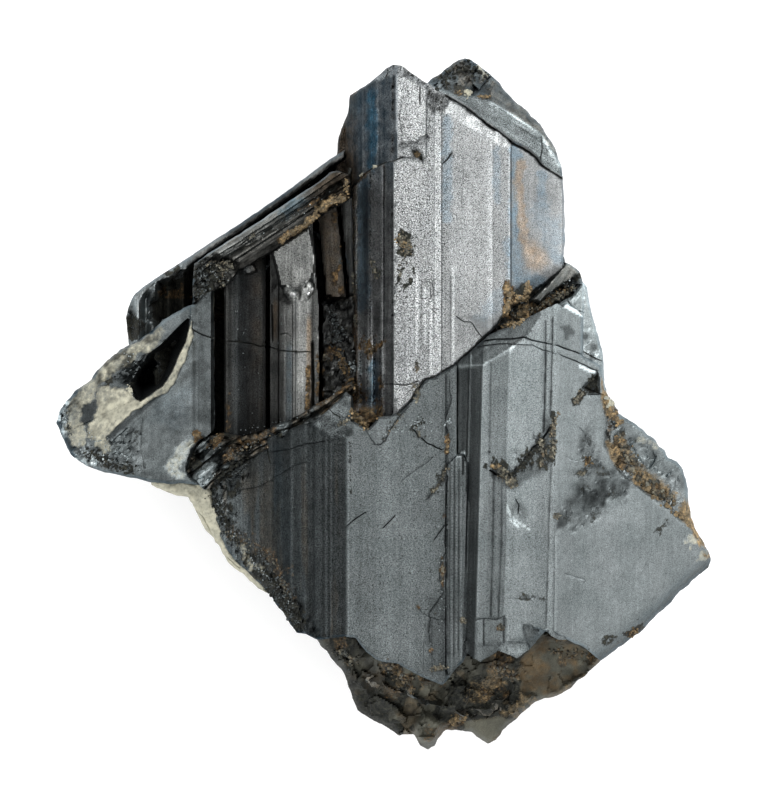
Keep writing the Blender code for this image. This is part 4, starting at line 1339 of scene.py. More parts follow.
def ledge():
    piece = Relief("diagonal_ledge", LEDGE_OUTLINE, 1.3, 1.3, cracks=LEDGE_CRACKS, seed=131)
    x, y = piece.x, piece.y
    z = 16.2 + 0.028 * (x - 182) + along(y - along(x, LEDGE_TOP), LEDGE_FACE)
    z += 0.22 * chips(plane((x - y) * 0.03, (x + 1.7 * y) * 0.07), 0.6, 132)
    teal = piece.patch(TEAL_PATCH, 3, 1.5, 136)
    z += 0.10 * piece.cloud(0.5, 133) + 0.2 * teal

    blocks = piece.patch([(268, 436), (284, 421), (292, 427), (280, 444)], 3, 1, 135)
    tone = np.clip(0.36 + 0.42 * ramp(x, 262, 285) + 0.7 * piece.cloud(0.45, 134), 0.06, 1.6)
    tone = blend(tone * (1 + 0.7 * blocks), 1.4 * (1 + 0.5 * piece.chips(0.5, 142)), teal)
    piece.look(tone=tone * (1 + 0.8 * ramp(x, 222, 200)))
    band = [(222, 458), (240, 447), (262, 436), (272, 430)]
    piece.stain("rust", 0.55 * piece.streak(band, 6, 137, 0.9) * (1 - teal))
    piece.streaks(
        ("rust", 0.8, [(213, 446), (217, 440), (221, 436)], 5, 138, 0.9),
        ("rust", 0.7, [(318, 404), (335, 394), (350, 385)], 3, 140, 0.8),
    )
    piece.clouds(
        ("warm", 0.75 * (1 - teal) * (1 - blocks), 1.2, 139, -0.3, 0.3),
        ("dirt", 0.75 * (1 - teal), 1.0, 141, 0.15, 0.5),
    )
    piece.close(z, GREY, {"tone": 0.6, "dirt": 0.7}, taper=0.05, edge=0.25, edge_width=2.0,
                depths=(0.05, 0.15, 0.3, 0.6, 1))


# ---------------------------------------------------------------- the lower crystal

LOWER_OUTLINE = [
    (204, 489), (212, 481), (226, 472), (241, 463), (256, 454), (266, 440), (272, 433), (283, 438),
    (292, 428), (305, 423), (312, 424), (330, 408), (346, 392), (352, 396), (352, 421), (368, 429),
    (378, 417), (391, 416), (400, 411), (412, 400), (417, 390), (425, 380), (436, 377), (445, 371),
    (455, 364), (462, 362), (468, 372), (468, 652), (462, 662), (456, 668), (449, 677), (442, 685),
    (426, 679), (413, 673), (399, 664), (387, 662), (376, 660), (366, 652), (364, 649), (356, 638),
    (345, 637), (330, 638), (316, 640), (306, 634), (297, 633), (290, 624), (283, 612), (272, 598),
    (264, 588), (248, 572), (236, 562), (226, 548), (218, 530), (210, 508),
]
LOWER_FACE = [
    (204, 14), (215, 15), (228, 16.1), (240, 17), (245, 17.4), (252, 17.95), (268, 19.05), (269.5, 19.25),
    (280, 20), (290.4, 20.75), (291.6, 20.87), (304.5, 21.62), (305.5, 21.72), (325.4, 22.66),
    (326.6, 22.74), (330.6, 22.88), (331.8, 22.95), (344, 23.35), (346.5, 23.5), (347.8, 23.65),
    (350, 23.66), (445, 23.62), (447.5, 23.45), (450, 23.4), (456.5, 23.35), (458, 22.4), (468, 22.2),
]
# Painted shade on the side left of x 347, which faces away from the light, and painted highlights on the
# ridge lines at x 291, 305.5, 326 and 331 and on the edge at x 347.6.
LOWER_TONES = [
    (204, 0.62), (228, 0.58), (243, 0.4), (246, 0.5), (250, 0.33), (266, 0.28), (269.5, 0.38), (272, 0.2),
    (290.2, 0.17), (291.1, 0.46), (292.1, 0.22), (304, 0.23), (305.5, 0.33), (308, 0.22), (325, 0.19),
    (326, 0.58), (327.2, 0.19), (330.2, 0.19), (331.2, 0.58), (332.4, 0.18), (344, 0.19), (346, 0.3),
    (347.6, 1.2), (349, 0.76), (372, 0.74), (378, 0.86), (386.5, 0.92), (410, 0.86), (418, 0.78),
    (436, 0.76), (445, 0.6), (449, 0.6), (454, 0.7), (468, 0.6),
]
LOWER_FALL = 0.0073  # mm down for each view unit towards the foot
APEX = [(311, 424), (330, 408), (346, 391), (354, 396), (354, 436), (347, 437), (335, 437), (322, 433)]
GRIT_EDGE = [(455, 262), (500, 236), (530, 240), (560, 262), (590, 292), (640, 330)]  # y and x
LOWER_CRACKS = [
    ([(232, 494), (245, 488), (258, 487), (270, 481), (285, 471), (297, 465),
      (306, 462)], 1.2, 0.08, 2.4, 0.7), ([(266, 440), (268, 452), (270, 462)], 1, 0.3, 0.8),
    ([(268, 452), (280, 450), (296, 448), (308, 444), (325, 441)], 0.9, 0.12, 1.4, 0.6),
    ([(205, 490), (222, 481), (240, 472), (250, 462)], 1, 0.3, 1.2),
    ([(330, 410), (334, 414), (340, 417)], 0.8, 0.2, 0.5),
    ([(366, 431), (374, 444), (381, 445), (386, 438), (392, 428), (400, 416),
      (410, 405)], 1.1, 0.12, 2.2, 0.45),
    ([(414, 430), (420, 437), (428, 444), (442, 450)], 1, 0.2, 1.2, 0.9),
    ([(401, 482), (412, 473), (424, 465), (433, 457)], 0.8, 0.06, 1.2, 0.4),
    ([(448, 500), (446, 530), (447, 545), (442, 562), (441, 580), (444, 592), (436, 602), (431, 612),
      (430, 642)], 1.4, 0.12, 3, 0.5),
    ([(418, 606), (424, 614), (430, 618), (440, 620), (456, 618)], 1.2, 0.1, 2.2, 0.4),
    ([(447, 466), (442, 478), (436, 489), (428, 499)], 2.6, 0.2, 2.5, 0.6),
    ([(347, 526), (356, 518), (366, 512)], 0.8, 0.18, 0.6, 0.8),
    ([(383, 528), (390, 521), (395, 516)], 0.8, 0.18, 0.4, 0.8),
    ([(449.5, 380), (450.5, 400), (446, 420), (449, 440)], 1, 0.1, 1.6, 0.5),
    ([(434, 540), (440, 532), (447, 522)], 0.7, 0.15, 0.8, 0.7),
    ([(424, 640), (423, 672)], 0.7, 0.06, 0.3, 0), ([(432, 622), (432, 672)], 0.7, 0.06, 0.3, 0),
]
LOWER_DIRT = (
    ([(378, 440), (386, 430), (396, 418)], 0.6), ([(410, 424), (424, 440)], 0.6),
    ([(444, 470), (434, 492)], 0.6), ([(444, 560), (440, 590), (430, 612)], 0.5),
)


def lower_crystal():
    piece = Relief("lower_crystal", LOWER_OUTLINE, 1.4, 2.8, [p[0] for p in LOWER_FACE],
                   cracks=LOWER_CRACKS, creases=[APEX + APEX[:1]], seed=151)
    x, y = piece.x, piece.y
    face = ramp(x, 345, 349)
    apex = ramp(piece.into(APEX), -0.6, 0.6)
    lines = piece.striae(152, 1.6, 1.0)
    z = along(x, LOWER_FACE) - LOWER_FALL * (y - 420) + 0.03 * lines * (1 - 0.85 * face)
    z += 0.010 * piece.cloud(0.25, 153, 3)
    roof = 23.6 - 0.028 * (350 - x) - 0.006 * (437 - y) - LOWER_FALL * (y - 420)
    z = blend(z, np.minimum(roof, 23.62), apex)
    grit = ramp(along(y, GRIT_EDGE) - x, -3, 8) * (1 - face) * ramp(y, 462, 480)
    z += grit * (0.4 * piece.chips(0.6, 154) + 0.2 * piece.chips(0.3, 155) - 0.15)
    notch = np.exp(-(((x - 349.5) / 1.6) ** 2)) * np.clip(piece.cloud(0.35, 156) - 0.15, 0, 1)
    chipped = ramp(y, 500, 495) + ramp(y, 538, 542) * ramp(y, 562, 556)
    z -= 0.2 * notch * ramp(y, 440, 450) * chipped

    tip = (0.66 + 0.42 * ramp(x, 350, 318)) * (1 + 0.55 * piece.cloud(0.5, 168))
    tone = blend(along(x, LOWER_TONES), tip * (1 - 0.42 * ramp(y, 411, 419)), apex)
    tone *= 1 - 0.1 * grit + 0.5 * grit * piece.cloud(0.3, 167)
    tone *= 1 + 0.38 * lines * (1 - 0.72 * face)
    tone *= 1 - 0.35 * piece.patch([(428, 596), (447, 596), (447, 676), (424, 672)], 7, 3, 169)
    tone *= (1 + 0.10 * piece.cloud(2.2, 157)) * (1 - 0.10 * ramp(y, 480, 680))
    tone *= 1 + (0.20 + 0.5 * ramp(x, 262, 236) + 0.2 * piece.cloud(0.35, 170)) * (1 - face)
    piece.look(tone=tone, speck=1.2 - 0.4 * face)
    flames = ramp(fractal(plane(x * 0.05, y * 0.003), 0.4, 158), 0.1, 0.5)
    piece.stain("warm", 0.42 * flames * (1 - face) * ramp(y, 440, 500))
    piece.stain("blue", 0.15 * bars(x, (277,), 8) * ramp(y, 436, 450) * ramp(y, 580, 500))
    piece.streaks(
        ("rust", 0.42, [(232, 528), (248, 540), (268, 552), (284, 575), (292, 598)], 7, 159, 1.2),
        ("rust", 0.8, [(447, 436), (447, 452)], 3, 163, 0.5),
        ("rust", 0.75, [(443, 560), (443, 585)], 3, 164, 0.9),
        ("crust", 0.5, [(240, 546), (246, 558), (252, 566), (262, 570)], 4, 162, 0.9),
        ("dirt", 0.62, [(447, 466), (441, 480), (434, 491)], 4, 166, 1.5),
    )
    piece.blots(("rust", 0.7, [(431, 650), (418, 608), (444, 516)], 4),
                ("dirt", 0.6, [(384, 440), (412, 428), (418, 436)], 4))
    piece.clouds(
        ("dirt", 0.8 * grit, 0.6, 160, 0.0, 0.4),
        ("dirt", 0.7 * ramp(x, 300, 240) * ramp(y, 500, 560), 0.9, 161, 0.15, 0.5),
    )
    for line, amount in LOWER_DIRT:
        piece.clouds(("dirt", amount * piece.streak(line, 5, 171, 1.2), 0.35, 172, 0.0, 0.35))
    piece.close(z, GREY, {"tone": 0.5, "dirt": 0.5, "rust": 0.3}, root=6.0, taper=0.15, edge=0.3,
                edge_width=2.5)


# ---------------------------------------------------------------- the central prism

PRISM_OUTLINE = [
    (456, 364), (463, 358), (470, 352), (480, 343), (490, 335), (500, 330), (515, 325), (530, 316),
    (545, 309), (558, 303.5), (566, 309), (566, 640), (558, 640), (545, 631), (536, 641), (530, 650),
    (517, 658), (507, 654), (498, 650), (490, 656), (480, 662), (472, 657), (468, 653), (462, 662),
    (456, 668), (449, 678), (446, 668), (446, 470), (448, 462), (454, 456), (456.5, 450),
]
PRISM_RIM = [
    (450, 367), (457, 366.5), (483, 365), (500, 355), (516, 345), (531, 331), (540, 318), (546, 306),
]
PRISM_FACE = [
    (446, 23), (455, 23.1), (456, 23.35), (457, 23.42), (463, 23.68), (469.3, 24.05), (470.3, 24.3),
    (471.5, 24.15), (481.5, 24.85), (483, 25.02), (508, 24.98), (509.2, 25.04), (540, 25.02), (543, 24.95),
    (553, 24.75), (560, 24.6), (566, 24.2),
]
# Painted shade on the left-facing step from x 457 to 481, and a painted highlight on its edge at x 482.7.
PRISM_TONES = [
    (446, 0.75), (456, 0.5), (457, 0.33), (469, 0.35), (470.4, 0.55), (472, 0.37), (481.5, 0.39),
    (482.7, 1.55), (486, 1.27), (492, 1.1), (493, 0.98), (508, 0.98), (509.5, 1.6), (513, 1.58), (543, 1.5),
    (551, 1.5), (553, 1.95), (562, 1.85), (566, 1.7),
]
PRISM_FALL = 0.0066  # mm down for each view unit towards the foot
PRISM_LEAN = 0.026  # that its edges lean for each view unit towards the foot
SUBSTEP = [
    (446, 466), (450, 460), (455, 456), (460, 454), (464, 453), (467.5, 462), (467, 560), (465, 650),
    (462, 661), (449, 680), (444, 668),
]
TEAL_FACET = [(522, 624), (535, 628), (548, 632), (541, 640), (530, 650), (525, 638)]
PRISM_CRACKS = [
    ([(491, 363), (490.5, 400), (489.5, 440), (489.2, 462)], 1.9, 0.1, 0.2, 0.7),
    ([(494, 466), (493.5, 520), (492.3, 570), (491, 617)], 2.2, 0.12, 0.2, 0.65),
    ([(502, 486), (501.5, 540), (500, 580), (498.5, 617)], 1.8, 0.1, 0.2, 0.6),
    ([(506, 486), (505.5, 540), (504, 580), (502.5, 617)], 1.8, 0.1, 0.2, 0.6),
    ([(546, 322), (546, 350), (545, 400), (544, 432)], 2, 0.15, 0.2, 0.9),
    ([(553, 319), (552.5, 350), (551.5, 390), (550.5, 414)], 2, 0.15, 0.2, 0.9),
    ([(551.5, 464), (550, 500), (548.6, 550), (547, 600), (546.5, 628)], 2.4, 0.12, 0.3, 0.65),
    ([(484, 620), (484, 645)], 1.7, 0.12, 0.3, 0.75),
    ([(477, 620), (484, 619), (496, 620), (505, 616)], 1.6, 0.08, 0.6, 0.6),
    ([(504, 616), (504, 642)], 2.2, 0.15, 0.4, 0.9), ([(450, 464), (449, 655)], 1.3, 0.06, 0.2, 0.6),
    ([(454.5, 460), (453.5, 656)], 1.3, 0.06, 0.2, 0.75), ([(459, 470), (458, 650)], 1.2, 0.06, 0.2, 0.6),
    ([(463, 456), (463, 474)], 1.2, 0.15, 0.3, 0.75),
    ([(484, 341), (497, 339), (510, 339), (523, 337), (532, 340), (541, 342), (555, 345),
      (566, 349)], 1.2, 0.2, 0.7, 0.95),
    ([(478, 347), (500, 344), (533, 345), (543, 350), (556, 354), (566, 358)], 0.9, 0.12, 0.6, 0.75),
    ([(490, 470), (505, 478), (515, 472), (524, 460), (534, 448), (543, 438),
      (550, 428)], 1.6, 0.4, 2, 0.8),
    ([(508, 598), (524, 600), (536, 597), (545, 599)], 1.8, 0.08, 0.8, 0.5),
    ([(516, 500), (519, 505), (518, 512)], 0.9, 0.15, 0.5, 0.7),
]
FOOT_SLOPE = [(466, 640), (480, 646), (500, 644), (530, 640), (545, 632), (530, 652), (500, 652),
              (480, 664), (466, 654)]
# A glint: its line, brightness, and where it fades.
PRISM_GLINTS = (
    ([(455, 457), (464, 453)], 1.8, 0.5, 2.0), ([(513, 346), (510, 351)], 2.0, 0.5, 2.0),
)
SCOOP_GLINTS = ([(507, 511), (516, 521), (529, 529)], [(509, 519), (518, 526)],
                [(507, 506), (510, 512)])
SCOOP_SHADE = [(516, 502), (524, 504), (529, 514), (526, 521), (518, 516)]
VEIN = [(491, 463), (500, 468), (508, 478), (516, 474), (525, 462), (534, 450), (543, 440)]
VEIN_SHADE = [(490, 470), (508, 490), (520, 486), (545, 470), (556, 458), (560, 420), (550, 412),
              (530, 448), (508, 470)]


def prism_height(piece, x, y, u, step, facet, roof, rim):
    z = along(u, PRISM_FACE) - PRISM_FALL * (y - 364)
    z += piece.striae(172, 2.4, 0.03) + 0.010 * piece.cloud(0.25, 173, 3)
    z = blend(z, 23.72 + 0.02 * (x - 450) - PRISM_FALL * (y - 420), step)
    z -= facet * 0.035 * np.clip(x - 520, 0, 30)
    z -= roof * 0.035 * rim
    scoop = np.hypot((x - 518) / 12, (y - 516) / 14)
    z -= 0.14 * (1 - ramp(scoop, 0.4, 1.0)) * (1 + 0.2 * np.sin(scoop * 18))
    z -= 0.25 * piece.patch(FOOT_SLOPE, 5, 1)
    z -= 0.12 * ramp(y, 617, 620) * ramp(x, 508, 505) * ramp(x, 474, 478)
    return z + 0.12 * piece.streak(VEIN, 9, 182, 1.0) * piece.chips(0.5, 183)


def prism_tone(piece, x, y, u, step, facet, roof, rim):
    tone = blend(along(u, PRISM_TONES), 0.66, step)
    strokes = noise(plane((x + 1.25 * y) * 0.25, (x - 0.8 * y) * 0.02), 1.0, 179)
    tone = np.where(roof, 0.60 + 0.26 * strokes, tone)
    # Painted highlight along the rim.
    tone += (1 - ramp(rim, 0.3, 1.2)) * ramp(x, 526, 512)
    for line, gain, low, high in PRISM_GLINTS:
        tone += gain * piece.line(line, low, high)
    tone += 0.5 * step * bars(x, (452, 456.5, 461), 1.0)
    tone *= 1 - ramp(y, 430, 560) * (0.22 + 0.15 * ramp(x, 551, 556))
    tone = blend(tone, 0.85, facet)
    for line in SCOOP_GLINTS:
        tone += 1.8 * piece.line(line, 0.3, 1.5)
    tone *= 1 - 0.35 * piece.patch(SCOOP_SHADE, 4, 1)
    tone *= 1 - 0.10 * piece.patch(FOOT_SLOPE, 5, 1)
    tone *= 1 + 0.07 * piece.cloud(1.8, 174)
    tone *= 1 + (0.05 + 0.12 * step) * piece.striae(180, 1.5, 1.0)
    return tone * (1 - 0.55 * piece.patch(VEIN_SHADE, 6, 3, 181))


def central_prism():
    piece = Relief("central_prism", PRISM_OUTLINE, 1.4, 2.8, [p[0] for p in PRISM_FACE],
                   slope=-PRISM_LEAN, cracks=PRISM_CRACKS,
                   creases=[SUBSTEP, TEAL_FACET, PRISM_RIM], seed=171)
    x, y = piece.x, piece.y
    u = x + PRISM_LEAN * (y - 365)
    step = ramp(piece.into(SUBSTEP), -0.5, 0.8)
    facet = ramp(piece.into(TEAL_FACET), -0.6, 0.6)
    roof = (y < along(x, PRISM_RIM)) & (x < 540)
    zones = (x, y, u, step, facet, roof, piece.off(PRISM_RIM))
    z = prism_height(piece, *zones)
    piece.look(tone=prism_tone(piece, *zones), speck=0.65)
    uneven = 0.75 + 0.5 * piece.clumps(0.4, 184, -0.3, 0.3)
    piece.stain("dirt", 0.62 * piece.streak(VEIN, 7, 175, 1.2) * uneven)
    piece.streaks(
        ("dirt", 0.66, [(540, 438), (542, 452), (542, 466)], 6, 176, 0.8),
        ("dirt", 0.66, [(555, 416), (552, 430), (553, 446), (551, 460)], 7, 177, 0.8),
        ("dirt", 0.5, [(520, 598), (545, 599)], 4, 178, 0.9),
    )
    piece.blots(("rust", 0.8, [(463, 620), (501, 628)], 5))
    piece.close(z, GREY, {"tone": 0.5, "dirt": 0.5}, root=7.0, taper=0.03, edge=0.12,
                edge_width=1.5, depths=(0.03, 0.08, 0.16, 0.3, 0.6, 1))


# ---------------------------------------------------------------- the broad right crystal

RIGHT_OUTLINE = [
    (549, 318), (558, 308), (562, 305), (567, 303), (576, 309), (583, 318), (583, 355), (592, 360),
    (601, 366), (602, 378), (604, 390), (608, 396), (614, 404), (616, 412), (626, 418), (636, 424),
    (648, 435), (656, 441), (659, 447), (664, 450), (668, 458), (677, 461), (683, 470), (686, 480),
    (688, 488), (688, 505), (693, 521), (697, 531), (702, 539), (707, 548), (711, 561), (709, 567),
    (700, 574), (680, 592), (660, 613), (640, 631), (625, 643), (610, 654), (600, 661), (590, 651),
    (580, 645), (569, 640), (558, 636), (549, 632),
]
SMOOTH_EDGE = [
    (600, 372), (600, 400), (606, 420), (604, 445), (611, 462), (622, 476), (640, 489), (660, 504),
    (680, 521), (690, 530), (697, 545), (703, 558),
]
CRUST_ZONE = SMOOTH_EDGE + [(716, 560), (700, 520), (692, 480), (664, 440), (616, 405), (606, 380)]
STAIN = [
    (575, 440), (590, 428), (600, 450), (606, 462), (622, 478), (634, 486), (628, 496), (610, 504),
    (600, 515), (584, 528), (556, 530), (556, 512), (572, 500), (580, 482), (572, 474), (582, 462),
]
RIGHT_CRACKS = [
    ([(556, 345), (566, 349), (576, 352), (583, 355), (592, 361)], 1.1, 0.2, 0.7, 0.95),
    ([(556, 353), (566, 357), (578, 362), (590, 368), (598, 371)], 0.9, 0.15, 0.6, 0.85),
    ([(585, 388), (592, 391), (603, 395)], 1.3, 0.4, 0.6),
    ([(580, 428), (586, 436), (590, 446)], 1.4, 0.12, 1.2, 0.35),
    ([(566, 574), (575, 577), (586, 580), (584, 583)], 1.6, 0.08, 1, 0.5),
    ([(566, 456), (572, 460), (578, 461)], 1, 0.08, 0.6, 0.3),
]
RIGHT_FACE = [(543, 24.97), (553, 24.77), (566, 24.52), (600, 23.8), (650, 22.6), (717, 20.6)]
LOWER_RIGHT_EDGE = [(712, 562), (680, 592), (660, 613), (640, 631), (600, 661)]
GOUGE = [(598, 373), (599, 393), (590, 393), (583, 388), (590, 380)]
KNOB = [(598, 640), (608, 634), (618, 636), (612, 644), (602, 646)]
BRIGHT_TIP = [(566, 304), (583, 313), (583, 317), (565, 307)]
DUSKY = [(572, 470), (600, 462), (634, 484), (628, 498), (600, 504), (574, 500)]


def right_crystal():
    piece = Relief("right_crystal", RIGHT_OUTLINE, 1.45, 2.0, [583.5, 600.5, 601.5],
                   cracks=RIGHT_CRACKS, creases=[SMOOTH_EDGE], sway=0.9, seed=191)
    x, y = piece.x, piece.y
    bevel = piece.off(LOWER_RIGHT_EDGE)
    crusty = ramp(piece.into(CRUST_ZONE), -1, 3)
    stained = piece.patch(STAIN, 10, 4, 196)
    gouge = piece.patch(GOUGE, 4, 1.5, 198)
    outer = ramp(piece.away, 16, 4)
    z = along(x + PRISM_LEAN * (y - 365), RIGHT_FACE)
    z -= PRISM_FALL * (y - 364) + 0.22 * ramp(x, 558, 549)
    z += piece.striae(192, 4.0, 0.015) + 0.010 * piece.cloud(0.3, 193, 3)
    z -= 0.0048 * np.clip(16 - bevel, 0, None) ** 2
    z += crusty * (-0.4 + 0.2 * outer + (0.3 - 0.2 * outer) * piece.chips(1.3, 194)
                   + (0.12 - 0.08 * outer) * piece.chips(0.6, 195))
    z += stained * (0.10 * piece.chips(0.6, 197) - 0.06) - 0.7 * gouge

    tone = 1.72 * (1 - 0.16 * ramp(y, 430, 560)) * along(bevel, [(0, 0.36), (5, 0.56), (13, 0.98)])
    tone *= 0.9 + 0.16 * ramp(x, 556, 640) * ramp(y, 420, 520)
    tone *= 1 - 0.50 * stained * (1 + 0.6 * piece.cloud(0.8, 200))
    tone = blend(tone, 1.35 + 0.4 * piece.cloud(0.9, 201), crusty)
    # Painted highlights: a white line by the cracks and the bright tip at the top corner.
    tone += 4.5 * piece.line([(580, 366), (588, 370), (594, 372)], 0.6, 1.9)
    tone += 6.0 * piece.patch(BRIGHT_TIP, 1.5, 0.3, 202)
    tone *= 1 + 0.06 * piece.cloud(2.5, 203)
    tone *= 1 - 0.5 * piece.patch(DUSKY, 14, 4, 210) * piece.clumps(1.0, 206, -0.5, 0.3)
    tone *= 1 - 0.6 * piece.spots([(568, 331)], 8)
    piece.look(tone=tone, speck=0.45, warm=0.3 * ramp(bevel, 8, 2))
    inner = ramp(piece.off(SMOOTH_EDGE), 26, 14) * crusty
    piece.clouds(
        ("gold", 0.85 * inner, 1.2, 211, -0.6, -0.1),
        ("rust", 0.55 * inner, 0.8, 204, 0.0, 0.4),
        ("dirt", 0.6 * inner, 0.7, 205, 0.25, 0.5),
        ("dirt", 0.42 * stained, 0.7, 206, 0.1, 0.5),
    )
    piece.stain("dirt", 0.9 * gouge + 0.62 * piece.patch(KNOB, 4, 1.5, 199))
    piece.blots(
        ("dirt", 0.45, [(588, 461), (581, 473), (604, 473)], 10),
        ("dirt", 0.55, [(660, 530), (665, 524)], 6),
        ("crust", 0.6, [(609, 401), (613, 408), (692, 540), (703, 556)], 7),
    )
    piece.streaks(
        ("dirt", 0.9, [(575, 402), (581, 394)], 6, 207, 0.3),
        ("dirt", 0.75, [(622, 640), (632, 632), (642, 626)], 6, 208, 0.9),
        ("crust", 0.36, [(640, 438), (656, 448)], 5, 209, 0.8),
    )
    piece.close(z, GREY, {"tone": 0.7, "dirt": 0.42, "rust": 0.24}, root=5.5, taper=0.3,
                centre=(13, -8), edge=0.6, edge_width=3.5)


# ---------------------------------------------------------------- the corner and the trench

CORNER_OUTLINE = [
    (530, 330), (545, 314), (560, 302.5), (572, 296), (579, 288), (583, 282), (587, 288), (589, 300),
    (592, 316), (597, 332), (602, 348), (603, 360), (604, 378), (608, 400), (590, 402), (572, 372),
    (540, 346),
]
CORNER_FACE = [(497, 24), (530, 24.2), (560, 23.7), (582.5, 23.2), (583.5, 22.5), (605, 21.6)]
CORNER_TONES = [(530, 1.2), (560, 1.6), (582, 2.2), (583.5, 2.9), (585, 2.2), (605, 2.1)]
CORNER_CRACKS = [
    ([(584, 352), (592, 357), (602, 361)], 0.9, 0.2, 0.6),
    ([(566, 298), (572, 308), (583, 312)], 1.0, 0.2, 0.5, 0.4),
]
CORNER_SHINE = [(583, 283), (588, 292), (590, 306), (583, 306), (576, 294)]
TRENCH_OUTLINE = [
    (492, 330), (503, 314), (515, 302), (530, 292), (550, 276), (563, 262), (570, 264), (579, 271),
    (581, 276), (585, 290), (560, 330), (520, 345), (500, 342),
]
BLADE = [
    (530, 300), (548, 284), (562, 268), (566, 262), (572, 264), (580, 272), (570, 280), (552, 292),
    (540, 302),
]


def corner_crystals():
    piece = Relief("corner_crystals", CORNER_OUTLINE, 1.4, 2.0, [582.5, 583.5],
                   cracks=CORNER_CRACKS, seed=211)
    x, y = piece.x, piece.y
    z = along(x, CORNER_FACE) - 0.004 * (y - 340)
    z += piece.striae(212, 2.5, 0.06) + 0.08 * piece.chips(0.6, 213)
    tone = along(x, CORNER_TONES) * (1 + 0.12 * piece.cloud(0.9, 214))
    tone *= 1 + 0.3 * piece.patch(CORNER_SHINE, 3, 1.5, 215)
    tone *= 1 + 0.4 * piece.spots([(592, 330), (598, 356)], 7)
    tone *= 1 - 0.6 * piece.spots([(585, 336), (594, 347), (592, 358)], 6)
    piece.look(tone=tone)
    piece.close(z, GREY, {"tone": 0.6, "dirt": 0.5}, taper=0.1, edge=0.5)


def trench():
    piece = Relief("dark_trench", TRENCH_OUTLINE, 1.4, 1.4, creases=[BLADE], seed=221)
    x, y = piece.x, piece.y
    blade = ramp(piece.into(BLADE), -0.8, 1.5)
    z = 21.0 + 0.7 * piece.chips(0.9, 222) + 0.3 * piece.chips(0.4, 223)
    z = blend(z, 22.3 - 0.03 * (x - 540) - 0.02 * (y - 285), blade)
    grooves = noise(plane((x + 0.7 * y) * 0.6, (x - 1.4 * y) * 0.02), 1.0, 227)
    tone = blend(0.62 + 0.6 * piece.cloud(0.4, 224), 1.7 + 0.7 * grooves, blade)
    piece.look(tone=tone, warm=0.25 * blade)
    piece.clouds(
        ("dirt", 0.72 * (1 - blade), 0.8, 225, -0.2, 0.2),
        ("gold", 0.6 * (1 - blade) * ramp(x, 540, 526), 0.4, 228, -0.2, 0.2),
        ("rust", (0.6 + 0.3 * ramp(x, 540, 520)) * (1 - blade), 0.7, 226, 0.1, 0.4),
    )
    piece.close(z, GREY, {"tone": 0.6, "dirt": 0.6}, taper=0.1)


# ---------------------------------------------------------------- the matrix foot and the mass

FOOT_OUTLINE = [
    (310, 632), (340, 628), (380, 640), (440, 655), (500, 640), (560, 625), (612, 645), (604, 658),
    (597, 663), (585, 674), (571, 687), (556, 697), (544, 698), (531, 705), (520, 714), (512, 722),
    (503, 730), (494, 740), (487, 744), (480, 739), (470, 733), (455, 730), (446, 730), (440, 738),
    (434, 745), (427, 748), (420, 744), (414, 734), (399, 735), (388, 728), (378, 722), (366, 716),
    (357, 711), (351, 694), (347, 680), (340, 668), (330, 656), (320, 644),
]
FOOT_POINT = [(462, 722), (500, 716), (512, 722), (487, 746), (470, 736)]
FOOT_SLAB = [(520, 660), (545, 636), (600, 652), (585, 672), (540, 700), (520, 690)]
FOOT_BLOCK = [(446, 690), (462, 682), (470, 694), (464, 712), (440, 712)]
FOOT_RUST = [(484, 695), (459, 722), (497, 668), (505, 672), (562, 662), (590, 656), (395, 668),
             (407, 678)]


def matrix_foot():
    piece = Relief("matrix_foot", FOOT_OUTLINE, 1.5, 1.5, sway=1.2, seed=231)
    x, y = piece.x, piece.y
    knob = 1 - ramp(np.hypot((x - 427) / 17, (y - 730) / 20), 0.5, 1.0)
    point = piece.patch(FOOT_POINT, 6, 1, 235)
    slab = piece.patch(FOOT_SLAB, 8, 2, 236)
    block = piece.patch(FOOT_BLOCK, 5, 1.5, 238)
    smooth = np.maximum(np.maximum(knob, point), slab)
    z = along(y, [(630, 17.6), (660, 16.4), (700, 13.4), (748, 10.5)])
    z += along(x, [(314, -4), (345, -2.2), (430, 0), (612, 1)])
    z += 0.7 * piece.chips(2.0, 232) + 0.35 * piece.chips(0.8, 233) + 0.3 * piece.cloud(1.2, 234)
    z = blend(z + 1.6 * knob, 12.4 - 0.04 * (y - 715), point)
    flat = 17.0 - 0.05 * (y - 636) + 0.12 * piece.cloud(1.0, 237) + 0.15 * piece.chips(1.6, 243)
    z = blend(z, flat, slab) + 0.7 * block

    tone = 1.95 + 1.2 * piece.cloud(1.2, 239) + 0.7 * piece.cloud(0.4, 246)
    tone = blend(blend(tone, 3.4, knob), 3.0, point)
    tone = blend(tone, 2.4 + 1.2 * piece.cloud(1.1, 242), slab) + 0.5 * block
    tone *= 0.55 + 0.45 * ramp(x, 360, 400)
    piece.look(tone=np.clip(tone, 0.2, 6), speck=0.3)
    golden = ramp(x, 440, 490) + 0.6 * ramp(piece.off([(390, 668), (412, 690)]), 22, 10)
    piece.clouds(
        ("warm", 0.9 * slab, 1.5, 244, -0.5, 0.2),
        ("warm", 0.5 * (1 - smooth), 1.5, 245, -0.1, 0.5),
        ("rust", 0.45 * (1 - point) * (1 - 0.5 * slab), 1.3, 240, 0.25, 0.6),
        ("gold", 0.45 * (1 - smooth) * golden, 1.0, 247, 0.2, 0.5),
        ("dirt", 0.85 * (1 - smooth), 1.8, 241, -0.1, 0.3),
    )
    piece.blots(("rust", 0.6, FOOT_RUST, 9))
    piece.close(z, ROCK, {"tone": 1.1, "dirt": 0.55, "rust": 0.45}, root=1.6, taper=0.35,
                centre=(4, -12), edge=0.9, edge_width=6)


